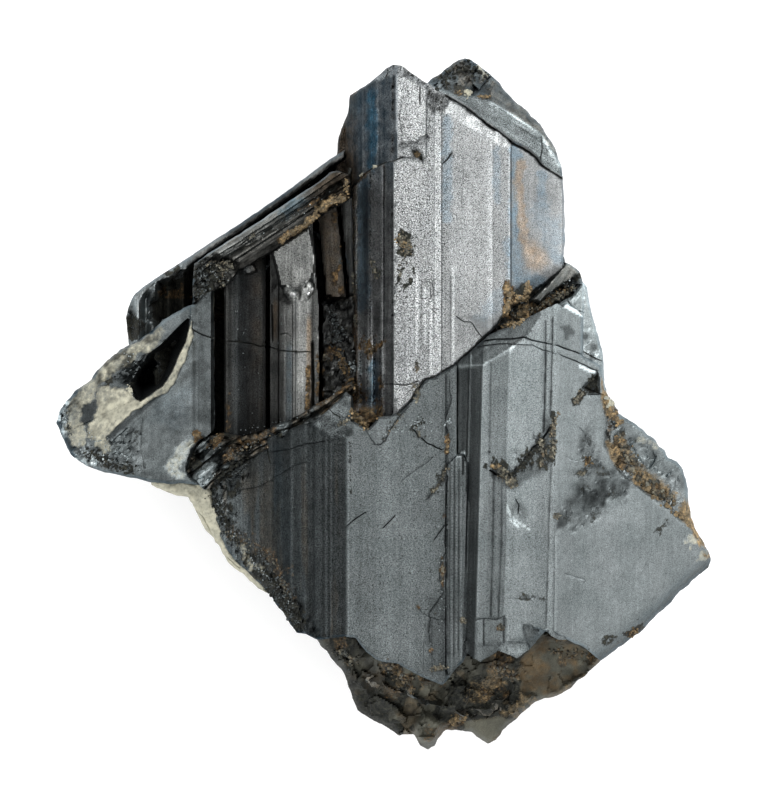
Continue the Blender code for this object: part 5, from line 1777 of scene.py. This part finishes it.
MASS_TOP = [
    (146, 345), (160, 315), (215, 280), (281, 236), (340, 190), (352, 130), (400, 88), (440, 90),
    (500, 120), (545, 160), (560, 230), (584, 300), (600, 370), (640, 440), (684, 500), (694, 555),
    (640, 618), (590, 655), (545, 690), (490, 716), (430, 716), (370, 700), (340, 668), (298, 615),
    (240, 545), (190, 480), (150, 420),
]
MASS_FLAT = [
    (250, 340), (330, 270), (400, 225), (480, 230), (540, 290), (580, 380), (585, 500), (540, 590),
    (450, 625), (360, 600), (280, 520), (245, 420),
]
MASS_HEIGHT = 13.6
MASS_CENTRE = (405.0, 415.0)
MASS_TURNS, MASS_RINGS = 620, 84
MASS_LID = ((0.3, 5.0), (0.6, 5.2), (0.82, 6.5), (0.92, 10.5), (0.97, 12.8))  # share and height
MASS_BASE = (0.85, 0.7, 0.55, 0.4, 0.25, 0.1)  # shares of the underside's rings
MASS_STAINS = (
    ("dirt", 0.75, 3.5, 257, -0.2, 0.5), ("rust", 0.55, 3.0, 258, 0.15, 0.7),
    ("crust", 0.7, 5.0, 259, 0.35, 0.7), ("warm", 0.6, 6.0, 260, 0.0, 0.5),
)


def ray_lengths(angles, corners):
    """How far rays from the mass's centre run to an outline."""
    lengths = np.zeros(angles.shape)
    cx, cy = MASS_CENTRE
    dx, dy = np.cos(angles), np.sin(angles)
    for (ax, ay), (bx, by) in zip(corners, corners[1:] + corners[:1]):
        ex, ey = bx - ax, by - ay
        cross = dx * ey - dy * ex
        cross = np.where(np.abs(cross) < 1e-9, 1e-9, cross)
        run = ((ax - cx) * ey - (ay - cy) * ex) / cross
        share = ((ax - cx) * dy - (ay - cy) * dx) / cross
        good = (run > 0) & (share >= 0) & (share <= 1)
        lengths = np.where(good, np.maximum(lengths, run), lengths)
    return lengths


def mass_sides(middle):
    """Rings of points down the rough sides of the mass."""
    angles = np.linspace(0, 2 * math.pi, MASS_TURNS, endpoint=False)
    wide, narrow = ray_lengths(angles, MASS_TOP), ray_lengths(angles, MASS_FLAT)
    shares = np.linspace(0, 1, MASS_RINGS)[:, None]
    girth = wide + (narrow - wide) * shares**1.6
    x = MASS_CENTRE[0] + girth * np.cos(angles)
    y = MASS_CENTRE[1] + girth * np.sin(angles)
    points = at(x, y, np.broadcast_to(MASS_HEIGHT * (1 - shares), x.shape))
    bite = 0.9 + 0.9 * chips(points, 4.5, 251) + 0.5 * fractal(points, 3.0, 252)
    bite += 0.35 * chips(points, 1.3, 253) + 0.15 * chips(points, 0.6, 254)
    bite = np.clip(bite, -0.2, 3) * (0.3 + 0.7 * ramp(points[..., 2], 0.0, 1.0))
    points[..., :2] -= outward(points, middle) * bite[..., None]
    return points


def broken_mass():
    """The body that all the crystals grow from: rough sides, a broken underside it lies on."""
    middle = at(*np.array([*MASS_CENTRE, 0.0]))[:2]
    sides = mass_sides(middle)
    lid, base = [], []
    for share, height in MASS_LID:
        ring = drawn_in(sides[0], middle, share)
        ring[:, 2] = height
        lid.append(ring)
    for share in MASS_BASE:
        ring = drawn_in(sides[-1], middle, share)
        dent = np.clip(0.4 * chips(ring, 2.6, 255) + 0.3 * fractal(ring, 2.0, 256), 0, 1)
        ring[:, 2] = dent * ramp(1 - share, 0.0, 0.2)
        base.append(ring)
    rings = np.array([*lid, *sides, *base])
    points = np.concatenate([*rings, [rings[0].mean(axis=0), rings[-1].mean(axis=0)]])
    top, floor = len(points) - 2, len(points) - 1

    index = np.arange(top).reshape(len(rings), MASS_TURNS)
    after = np.roll(index, -1, axis=1)
    quads = np.stack([index[1:], after[1:], after[:-1], index[:-1]], -1).reshape(-1, 4)
    faces = quads.tolist()
    faces += [[b, top, a] for a, b in zip(index[0].tolist(), after[0].tolist())]
    faces += [[floor, b, a] for a, b in zip(index[-1].tolist(), after[-1].tolist())]
    values = {c: np.full(len(points), STARTS.get(c, 0.0)) for c in CHANNELS}
    for channel, amount, size, seed, low, high in MASS_STAINS:
        values[channel] = amount * ramp(fractal(points, size, seed), low, high)
    values["tone"] = 0.85 + 0.3 * fractal(points, 2.0, 261)
    make_piece("broken_mass", points, faces, values, GREY, 35)


# ---------------------------------------------------------------- grains in the cracks

# What a grain is made of.
RUSTY = {"rust": 0.9, "gold": 0.5, "soot_and_shade": 0.32}
OCHRE = {"rust": 0.6, "gold": 1.0, "soot_and_shade": 0.2}
OLIVE = {"crust": 0.34, "rust": 0.5, "dirt": 0.46, "tone": 0.45, "soot_and_shade": 0.34}
HONEY = {"crust": 0.5, "gold": 1.0, "rust": 0.4, "tone": 1.6}
CREAM = {"crust": 0.95}
BLACK = {"dirt": 0.8, "tone": 0.5}
# The glint grains and the dimmer ones after them are painted lighter: painted sparkle.
GLINT = {"tone": 2.2, "speck": 0.6}
DIM_GLINT = {"tone": 1.1, "speck": 0.4}
MIXED = {"rust": 0.66, "crust": 0.26, "dirt": 0.42, "gold": 0.3, "soot_and_shade": 0.4}
GRITTY = {"tone": 0.8, "dirt": 0.42}

GRAIN_RISE = 0.12  # how far a grain's middle stands out, as a share of its size
STEEPEST = 0.25  # the least upward slope that holds a grain
GOLDEN = (1 + 5**0.5) / 2
LUMP_CORNERS = np.array([
    (-1, GOLDEN, 0), (1, GOLDEN, 0), (-1, -GOLDEN, 0), (1, -GOLDEN, 0), (0, -1, GOLDEN),
    (0, 1, GOLDEN), (0, -1, -GOLDEN), (0, 1, -GOLDEN), (GOLDEN, 0, -1), (GOLDEN, 0, 1),
    (-GOLDEN, 0, -1), (-GOLDEN, 0, 1),
]) / 1.9
LUMP_FACES = np.array([
    (0, 11, 5), (0, 5, 1), (0, 1, 7), (0, 7, 10), (0, 10, 11), (1, 5, 9), (5, 11, 4),
    (11, 10, 2), (10, 7, 6), (7, 1, 8), (3, 9, 4), (3, 4, 2), (3, 2, 6), (3, 6, 8),
    (3, 8, 9), (4, 9, 5), (2, 4, 11), (6, 2, 10), (8, 6, 7), (9, 8, 1),
])

# A bed of grains: its path, half width, count, grain size in mm and what they are made of.
GRAIN_BEDS = [
    ([(400, 237), (408, 244), (405, 254)], 9, 130, 0.24, OLIVE),
    ([(398, 238), (410, 252)], 7, 40, 0.2, HONEY), ([(417, 154)], 4, 30, 0.2, RUSTY),
    ([(198, 268), (206, 282), (200, 298)], 8, 130, 0.2, GRITTY),
    ([(206, 262), (222, 268), (222, 284)], 9, 120, 0.2, OLIVE),
    ([(330, 310), (338, 330), (330, 345)], 10, 130, 0.2, GRITTY),
    ([(447, 468), (441, 480), (434, 492)], 3, 60, 0.2, OLIVE),
    ([(400, 265), (400, 276)], 4, 26, 0.18, OLIVE),
    ([(372, 262), (375, 270), (378, 280)], 5, 45, 0.2, OLIVE),
    ([(354, 272), (354, 300)], 4, 40, 0.2, OLIVE), ([(417, 361), (417, 371)], 3, 24, 0.2, OLIVE),
    ([(414, 385), (419, 392), (417, 400)], 5, 48, 0.22, OLIVE),
    ([(507, 285), (509, 300), (506, 314)], 4.5, 110, 0.26, HONEY),
    ([(514, 296), (526, 300), (528, 285)], 5, 90, 0.26, HONEY),
    ([(505, 325), (514, 325), (524, 320)], 4.5, 80, 0.26, HONEY),
    ([(530, 312), (545, 303), (560, 296), (573, 288)], 5, 150, 0.26, OLIVE),
    ([(535, 308), (552, 297), (568, 288)], 5, 60, 0.24, RUSTY),
    ([(467, 92), (470, 95)], 5, 40, 0.26, CREAM), ([(478, 96), (490, 98)], 3, 34, 0.22, OCHRE),
    ([(456, 92), (462, 95)], 3, 20, 0.2, OCHRE),
    ([(439, 84), (455, 74), (470, 66), (486, 78)], 12, 90, 0.35, BLACK),
    ([(372, 167), (377, 166)], 2.5, 20, 0.18, CREAM), ([(360, 176), (364, 173)], 2, 10, 0.16, CREAM),
    ([(330, 200), (344, 199)], 6, 130, 0.26, HONEY), ([(346, 180), (347, 192)], 3.2, 50, 0.24, OCHRE),
    ([(321, 208), (328, 204)], 3, 44, 0.22, HONEY),
    ([(281, 240), (291, 232), (304, 225), (316, 217)], 3.4, 160, 0.22, HONEY),
    ([(250, 238), (254, 234)], 4, 22, 0.2, OLIVE), ([(222, 262), (232, 268)], 7, 55, 0.24, OLIVE),
    ([(205, 268), (215, 280), (222, 274)], 10, 80, 0.24, BLACK),
    ([(308, 370), (308, 390), (306, 412)], 2.6, 70, 0.2, RUSTY),
    ([(338, 350), (342, 362), (350, 378), (356, 388)], 7, 110, 0.26, RUSTY),
    ([(324, 358)], 6, 26, 0.24, OLIVE), ([(318, 360), (320, 395)], 3, 40, 0.2, RUSTY),
    ([(364, 343), (370, 352), (378, 346)], 6, 70, 0.24, RUSTY),
    ([(352, 412), (360, 420), (368, 428)], 6, 120, 0.26, HONEY),
    ([(372, 420), (382, 414)], 4, 40, 0.22, RUSTY), ([(340, 424), (348, 420)], 4, 34, 0.2, OLIVE),
    ([(355, 316), (356, 324)], 4, 24, 0.2, OLIVE), ([(352, 366), (362, 372)], 9, 50, 0.26, GLINT),
    ([(356, 398), (372, 412)], 8, 60, 0.22, OCHRE), ([(214, 444), (218, 436)], 5, 40, 0.2, RUSTY),
    ([(194, 434), (200, 436)], 4, 26, 0.2, RUSTY),
    ([(225, 460), (245, 448), (268, 434)], 5, 60, 0.17, MIXED),
    ([(215, 478), (235, 466), (248, 458)], 6, 70, 0.24, BLACK),
    ([(216, 505), (224, 515), (230, 526)], 8, 90, 0.26, BLACK),
    ([(212, 496), (226, 524), (240, 550), (262, 574)], 9, 220, 0.15, GRITTY),
    ([(262, 574), (278, 596), (296, 622)], 9, 160, 0.16, GRITTY),
    ([(214, 486), (230, 478), (246, 466)], 8, 110, 0.15, GRITTY),
    ([(230, 532), (248, 541), (266, 554), (276, 566)], 7, 70, 0.17, OLIVE),
    ([(236, 530), (252, 544), (280, 580), (292, 597)], 9, 150, 0.17, GRITTY),
    ([(280, 578), (290, 597)], 5, 40, 0.2, OLIVE),
    ([(268, 590), (280, 604), (300, 630)], 6, 80, 0.26, BLACK),
    ([(447, 440), (447, 452)], 2.5, 26, 0.2, OCHRE), ([(443, 565), (442, 582)], 2.5, 24, 0.18, OLIVE),
    ([(384, 440), (392, 428), (404, 414)], 2, 26, 0.16, OLIVE),
    ([(417, 430), (420, 436)], 3, 18, 0.18, OLIVE), ([(412, 425), (424, 420)], 7, 20, 0.16, GLINT),
    ([(412, 427), (424, 422)], 7, 30, 0.16, BLACK), ([(445, 424), (450, 422)], 4, 14, 0.2, GLINT),
    ([(492, 466), (499, 467)], 3.5, 44, 0.24, OCHRE),
    ([(500, 470), (508, 478), (516, 484)], 7, 110, 0.28, OLIVE),
    ([(512, 476), (522, 466), (532, 454), (540, 446)], 4.5, 110, 0.26, BLACK),
    ([(541, 440), (543, 452), (541, 464)], 4.5, 70, 0.26, OLIVE),
    ([(556, 416), (553, 432), (554, 448), (551, 458)], 5, 110, 0.28, OLIVE),
    ([(575, 402), (582, 394)], 4.5, 50, 0.26, OLIVE), ([(592, 378), (594, 388)], 6, 80, 0.28, BLACK),
    ([(588, 461)], 7, 40, 0.26, RUSTY), ([(579, 473), (585, 473)], 4, 26, 0.22, OLIVE),
    ([(557, 516)], 4.5, 30, 0.22, OLIVE), ([(463, 620)], 4.5, 30, 0.22, OLIVE),
    ([(501, 627)], 4.5, 26, 0.24, OLIVE), ([(608, 400), (612, 412), (620, 424)], 6, 46, 0.42, OCHRE),
    ([(614, 436), (616, 452), (622, 466)], 7, 24, 0.42, RUSTY),
    ([(622, 440), (634, 460), (640, 472)], 9, 34, 0.46, MIXED),
    ([(618, 440), (634, 474)], 9, 30, 0.5, OLIVE),
    ([(634, 478), (650, 490), (668, 506), (682, 518)], 7, 40, 0.46, OCHRE),
    ([(636, 476), (652, 486), (670, 502)], 9, 40, 0.5, OLIVE),
    ([(655, 484), (672, 500)], 8, 24, 0.42, RUSTY), ([(628, 636), (636, 630)], 5, 40, 0.28, RUSTY),
    ([(390, 666), (405, 676), (412, 690)], 9, 80, 0.34, MIXED), ([(484, 694)], 9, 40, 0.34, RUSTY),
    ([(452, 722), (464, 716)], 8, 50, 0.36, OCHRE),
    ([(496, 665), (506, 672), (518, 676)], 9, 90, 0.34, MIXED),
    ([(550, 652), (590, 654)], 8, 60, 0.3, MIXED), ([(340, 650), (352, 664)], 9, 60, 0.34, OLIVE),
    ([(432, 668), (446, 668)], 5, 60, 0.26, OLIVE), ([(84, 450), (98, 457), (110, 462)], 6, 40, 0.2, GLINT),
    ([(95, 461)], 4, 16, 0.2, GLINT), ([(67, 412), (67, 424), (72, 436)], 4, 70, 0.12, GRITTY),
    ([(84, 450), (100, 458), (120, 468), (134, 470)], 8, 120, 0.3, BLACK),
    ([(128, 388), (134, 394)], 5, 40, 0.24, CREAM), ([(350, 440), (351, 496)], 2.2, 34, 0.14, BLACK),
    ([(606, 398), (611, 407)], 4, 14, 0.5, CREAM),
    ([(240, 434), (300, 417), (345, 387)], 6, 60, 0.12, DIM_GLINT),
    ([(322, 312), (350, 340)], 14, 50, 0.12, GLINT), ([(200, 450), (262, 446)], 10, 40, 0.12, DIM_GLINT),
    ([(216, 500), (240, 545), (290, 605)], 9, 130, 0.12, GLINT),
    ([(126, 352), (146, 372)], 12, 40, 0.12, GLINT),
    ([(384, 436), (420, 420), (446, 446)], 12, 50, 0.1, GLINT),
    ([(65, 405), (63, 428)], 5, 70, 0.13, GLINT), ([(236, 300), (250, 420)], 16, 14, 0.09, DIM_GLINT),
    ([(280, 300), (300, 420)], 12, 30, 0.1, DIM_GLINT), ([(352, 350), (372, 380)], 12, 40, 0.13, GLINT),
    ([(445, 470), (440, 640)], 8, 40, 0.1, GLINT), ([(540, 300), (572, 280)], 6, 36, 0.12, GLINT),
    ([(86, 430), (110, 450), (135, 460)], 10, 70, 0.12, GLINT),
    ([(204, 268), (226, 280)], 10, 50, 0.11, GLINT),
    ([(256, 240), (300, 212), (336, 186)], 8, 40, 0.1, GLINT),
]


class Ground:
    """The pieces made so far, to lay grains on."""

    def __init__(self):
        points, faces = [], []
        for thing in made:
            start = len(points)
            points += [v.co / MM for v in thing.data.vertices]
            faces += [[start + v for v in p.vertices] for p in thing.data.polygons]
        self.tree = BVHTree.FromPolygons(points, faces)

    def under(self, x, y):
        """The place and slope of the surface that shows at a view point."""
        camera_place = Vector((AXIS_X, AXIS_Y, FRONT + DISTANCE))
        target = Vector(at(np.array(x), np.array(y), np.array(0.0)))
        return self.tree.ray_cast(camera_place, (target - camera_place).normalized())[:2]


def lump(rng, size, flat=0.75):
    """The corners of one irregular angular grain, about size across."""
    corners = LUMP_CORNERS * rng.uniform(0.72, 1.12, (12, 1)) * rng.uniform(0.6, 1.15, 3)
    turn, _ = np.linalg.qr(rng.normal(size=(3, 3)))
    if np.linalg.det(turn) < 0:
        turn[:, 0] *= -1
    corners = corners @ turn.T
    corners[:, 2] *= flat
    return corners * size / 2


def scatter(name, beds, ground, seed):
    """One piece of many grains."""
    rng = np.random.default_rng(seed)
    points, faces, total = [], [], 0
    values = {c: [] for c in CHANNELS}
    for path, breadth, count, size, looks in beds:
        path = np.asarray(path, float)
        if len(path) == 1:
            path = np.concatenate([path, path + 0.01])
        run = np.concatenate([[0], np.cumsum(np.hypot(*np.diff(path, axis=0).T))])
        for _ in range(count):
            place = rng.uniform(0, run[-1])
            away, angle = breadth * rng.beta(1.2, 1.8), rng.uniform(0, 2 * math.pi)
            x = np.interp(place, run, path[:, 0]) + away * math.cos(angle)
            y = np.interp(place, run, path[:, 1]) + away * math.sin(angle)
            spot, normal = ground.under(x, y)
            if spot is None or normal.z < STEEPEST:
                continue
            grain = size * rng.uniform(0.45, 1.3) * (1.15 - 0.5 * away / breadth)
            corners = lump(rng, grain)
            points.append(corners + np.array(spot) + np.array(normal) * grain * GRAIN_RISE)
            faces.append(LUMP_FACES + total)
            total += len(corners)
            for channel in CHANNELS:
                base = looks.get(channel, STARTS.get(channel, 0.0))
                spread = (1.0 if channel == "soot_and_shade" else 0.35) * base * rng.uniform(-1, 1)
                values[channel].append(np.full(len(corners), base + spread))
    values = {c: np.concatenate(v) for c, v in values.items()}
    make_piece(name, np.concatenate(points), np.concatenate(faces).tolist(), values, GREY, 20)


def grains():
    ground = Ground()
    half = len(GRAIN_BEDS) // 2
    scatter("grains_upper", GRAIN_BEDS[:half], ground, 271)
    scatter("grains_lower", GRAIN_BEDS[half:], ground, 272)


# ---------------------------------------------------------------- stage

FLOOR_HALF = 1500.0
AIM = Vector((0, 0, 12 * MM))  # what the lamps face, in metres
# A lamp: its place and size in mm, and its power.
LAMPS = {"key": ((150, 190, 300), 180, 1.2), "fill": ((-170, -120, 300), 240, 0.5)}


def add(thing):
    bpy.context.scene.collection.objects.link(thing)
    return thing


def lamp(name, place, size, power):
    """A soft square lamp that faces the specimen."""
    light = bpy.data.lights.new(name, "AREA")
    light.shape = "SQUARE"
    light.size = size * MM
    light.energy = power
    thing = add(bpy.data.objects.new(name, light))
    thing.location = [value * MM for value in place]
    thing.rotation_euler = (AIM - thing.location).to_track_quat("-Z", "Y").to_euler()


def pale_floor():
    material = bpy.data.materials.new("pale_floor")
    material.use_nodes = True
    shader = material.node_tree.nodes["Principled BSDF"]
    shader.inputs["Base Color"].default_value = (0.95, 0.95, 0.95, 1.0)
    shader.inputs["Roughness"].default_value = 0.9
    shader.inputs["Emission Strength"].default_value = 0.14
    return material


def stage():
    half = FLOOR_HALF * MM
    mesh = bpy.data.meshes.new("floor")
    corners = [(-half, -half, 0), (half, -half, 0), (half, half, 0), (-half, half, 0)]
    mesh.from_pydata(corners, [], [(0, 1, 2, 3)])
    mesh.materials.append(pale_floor())
    floor = add(bpy.data.objects.new("floor", mesh))
    world = bpy.data.worlds.new("studio")
    world.use_nodes = True
    sky = world.node_tree.nodes["Background"]
    sky.inputs["Color"].default_value = (1, 1, 1, 1)
    sky.inputs["Strength"].default_value = 1.0
    bpy.context.scene.world = world
    for name, settings in LAMPS.items():
        lamp(name, *settings)
    bpy.context.scene.view_settings.view_transform = "Standard"


def camera():
    data = bpy.data.cameras.new("camera")
    data.sensor_width = SENSOR
    data.lens = SENSOR * DISTANCE / (VIEW_HEIGHT * UNIT)
    data.clip_start, data.clip_end = 0.01, 10
    thing = add(bpy.data.objects.new("camera", data))
    thing.location = (AXIS_X * MM, AXIS_Y * MM, (FRONT + DISTANCE) * MM)
    bpy.context.scene.camera = thing


def main():
    for make in (
        upper_crystal, peak, rear_crystal, diagonal_beam, columns, left_wedge, crust_strip,
        ledge, lower_crystal, central_prism, right_crystal, corner_crystals, trench,
        matrix_foot, broken_mass, grains, stage, camera,
    ):
        make()


main()
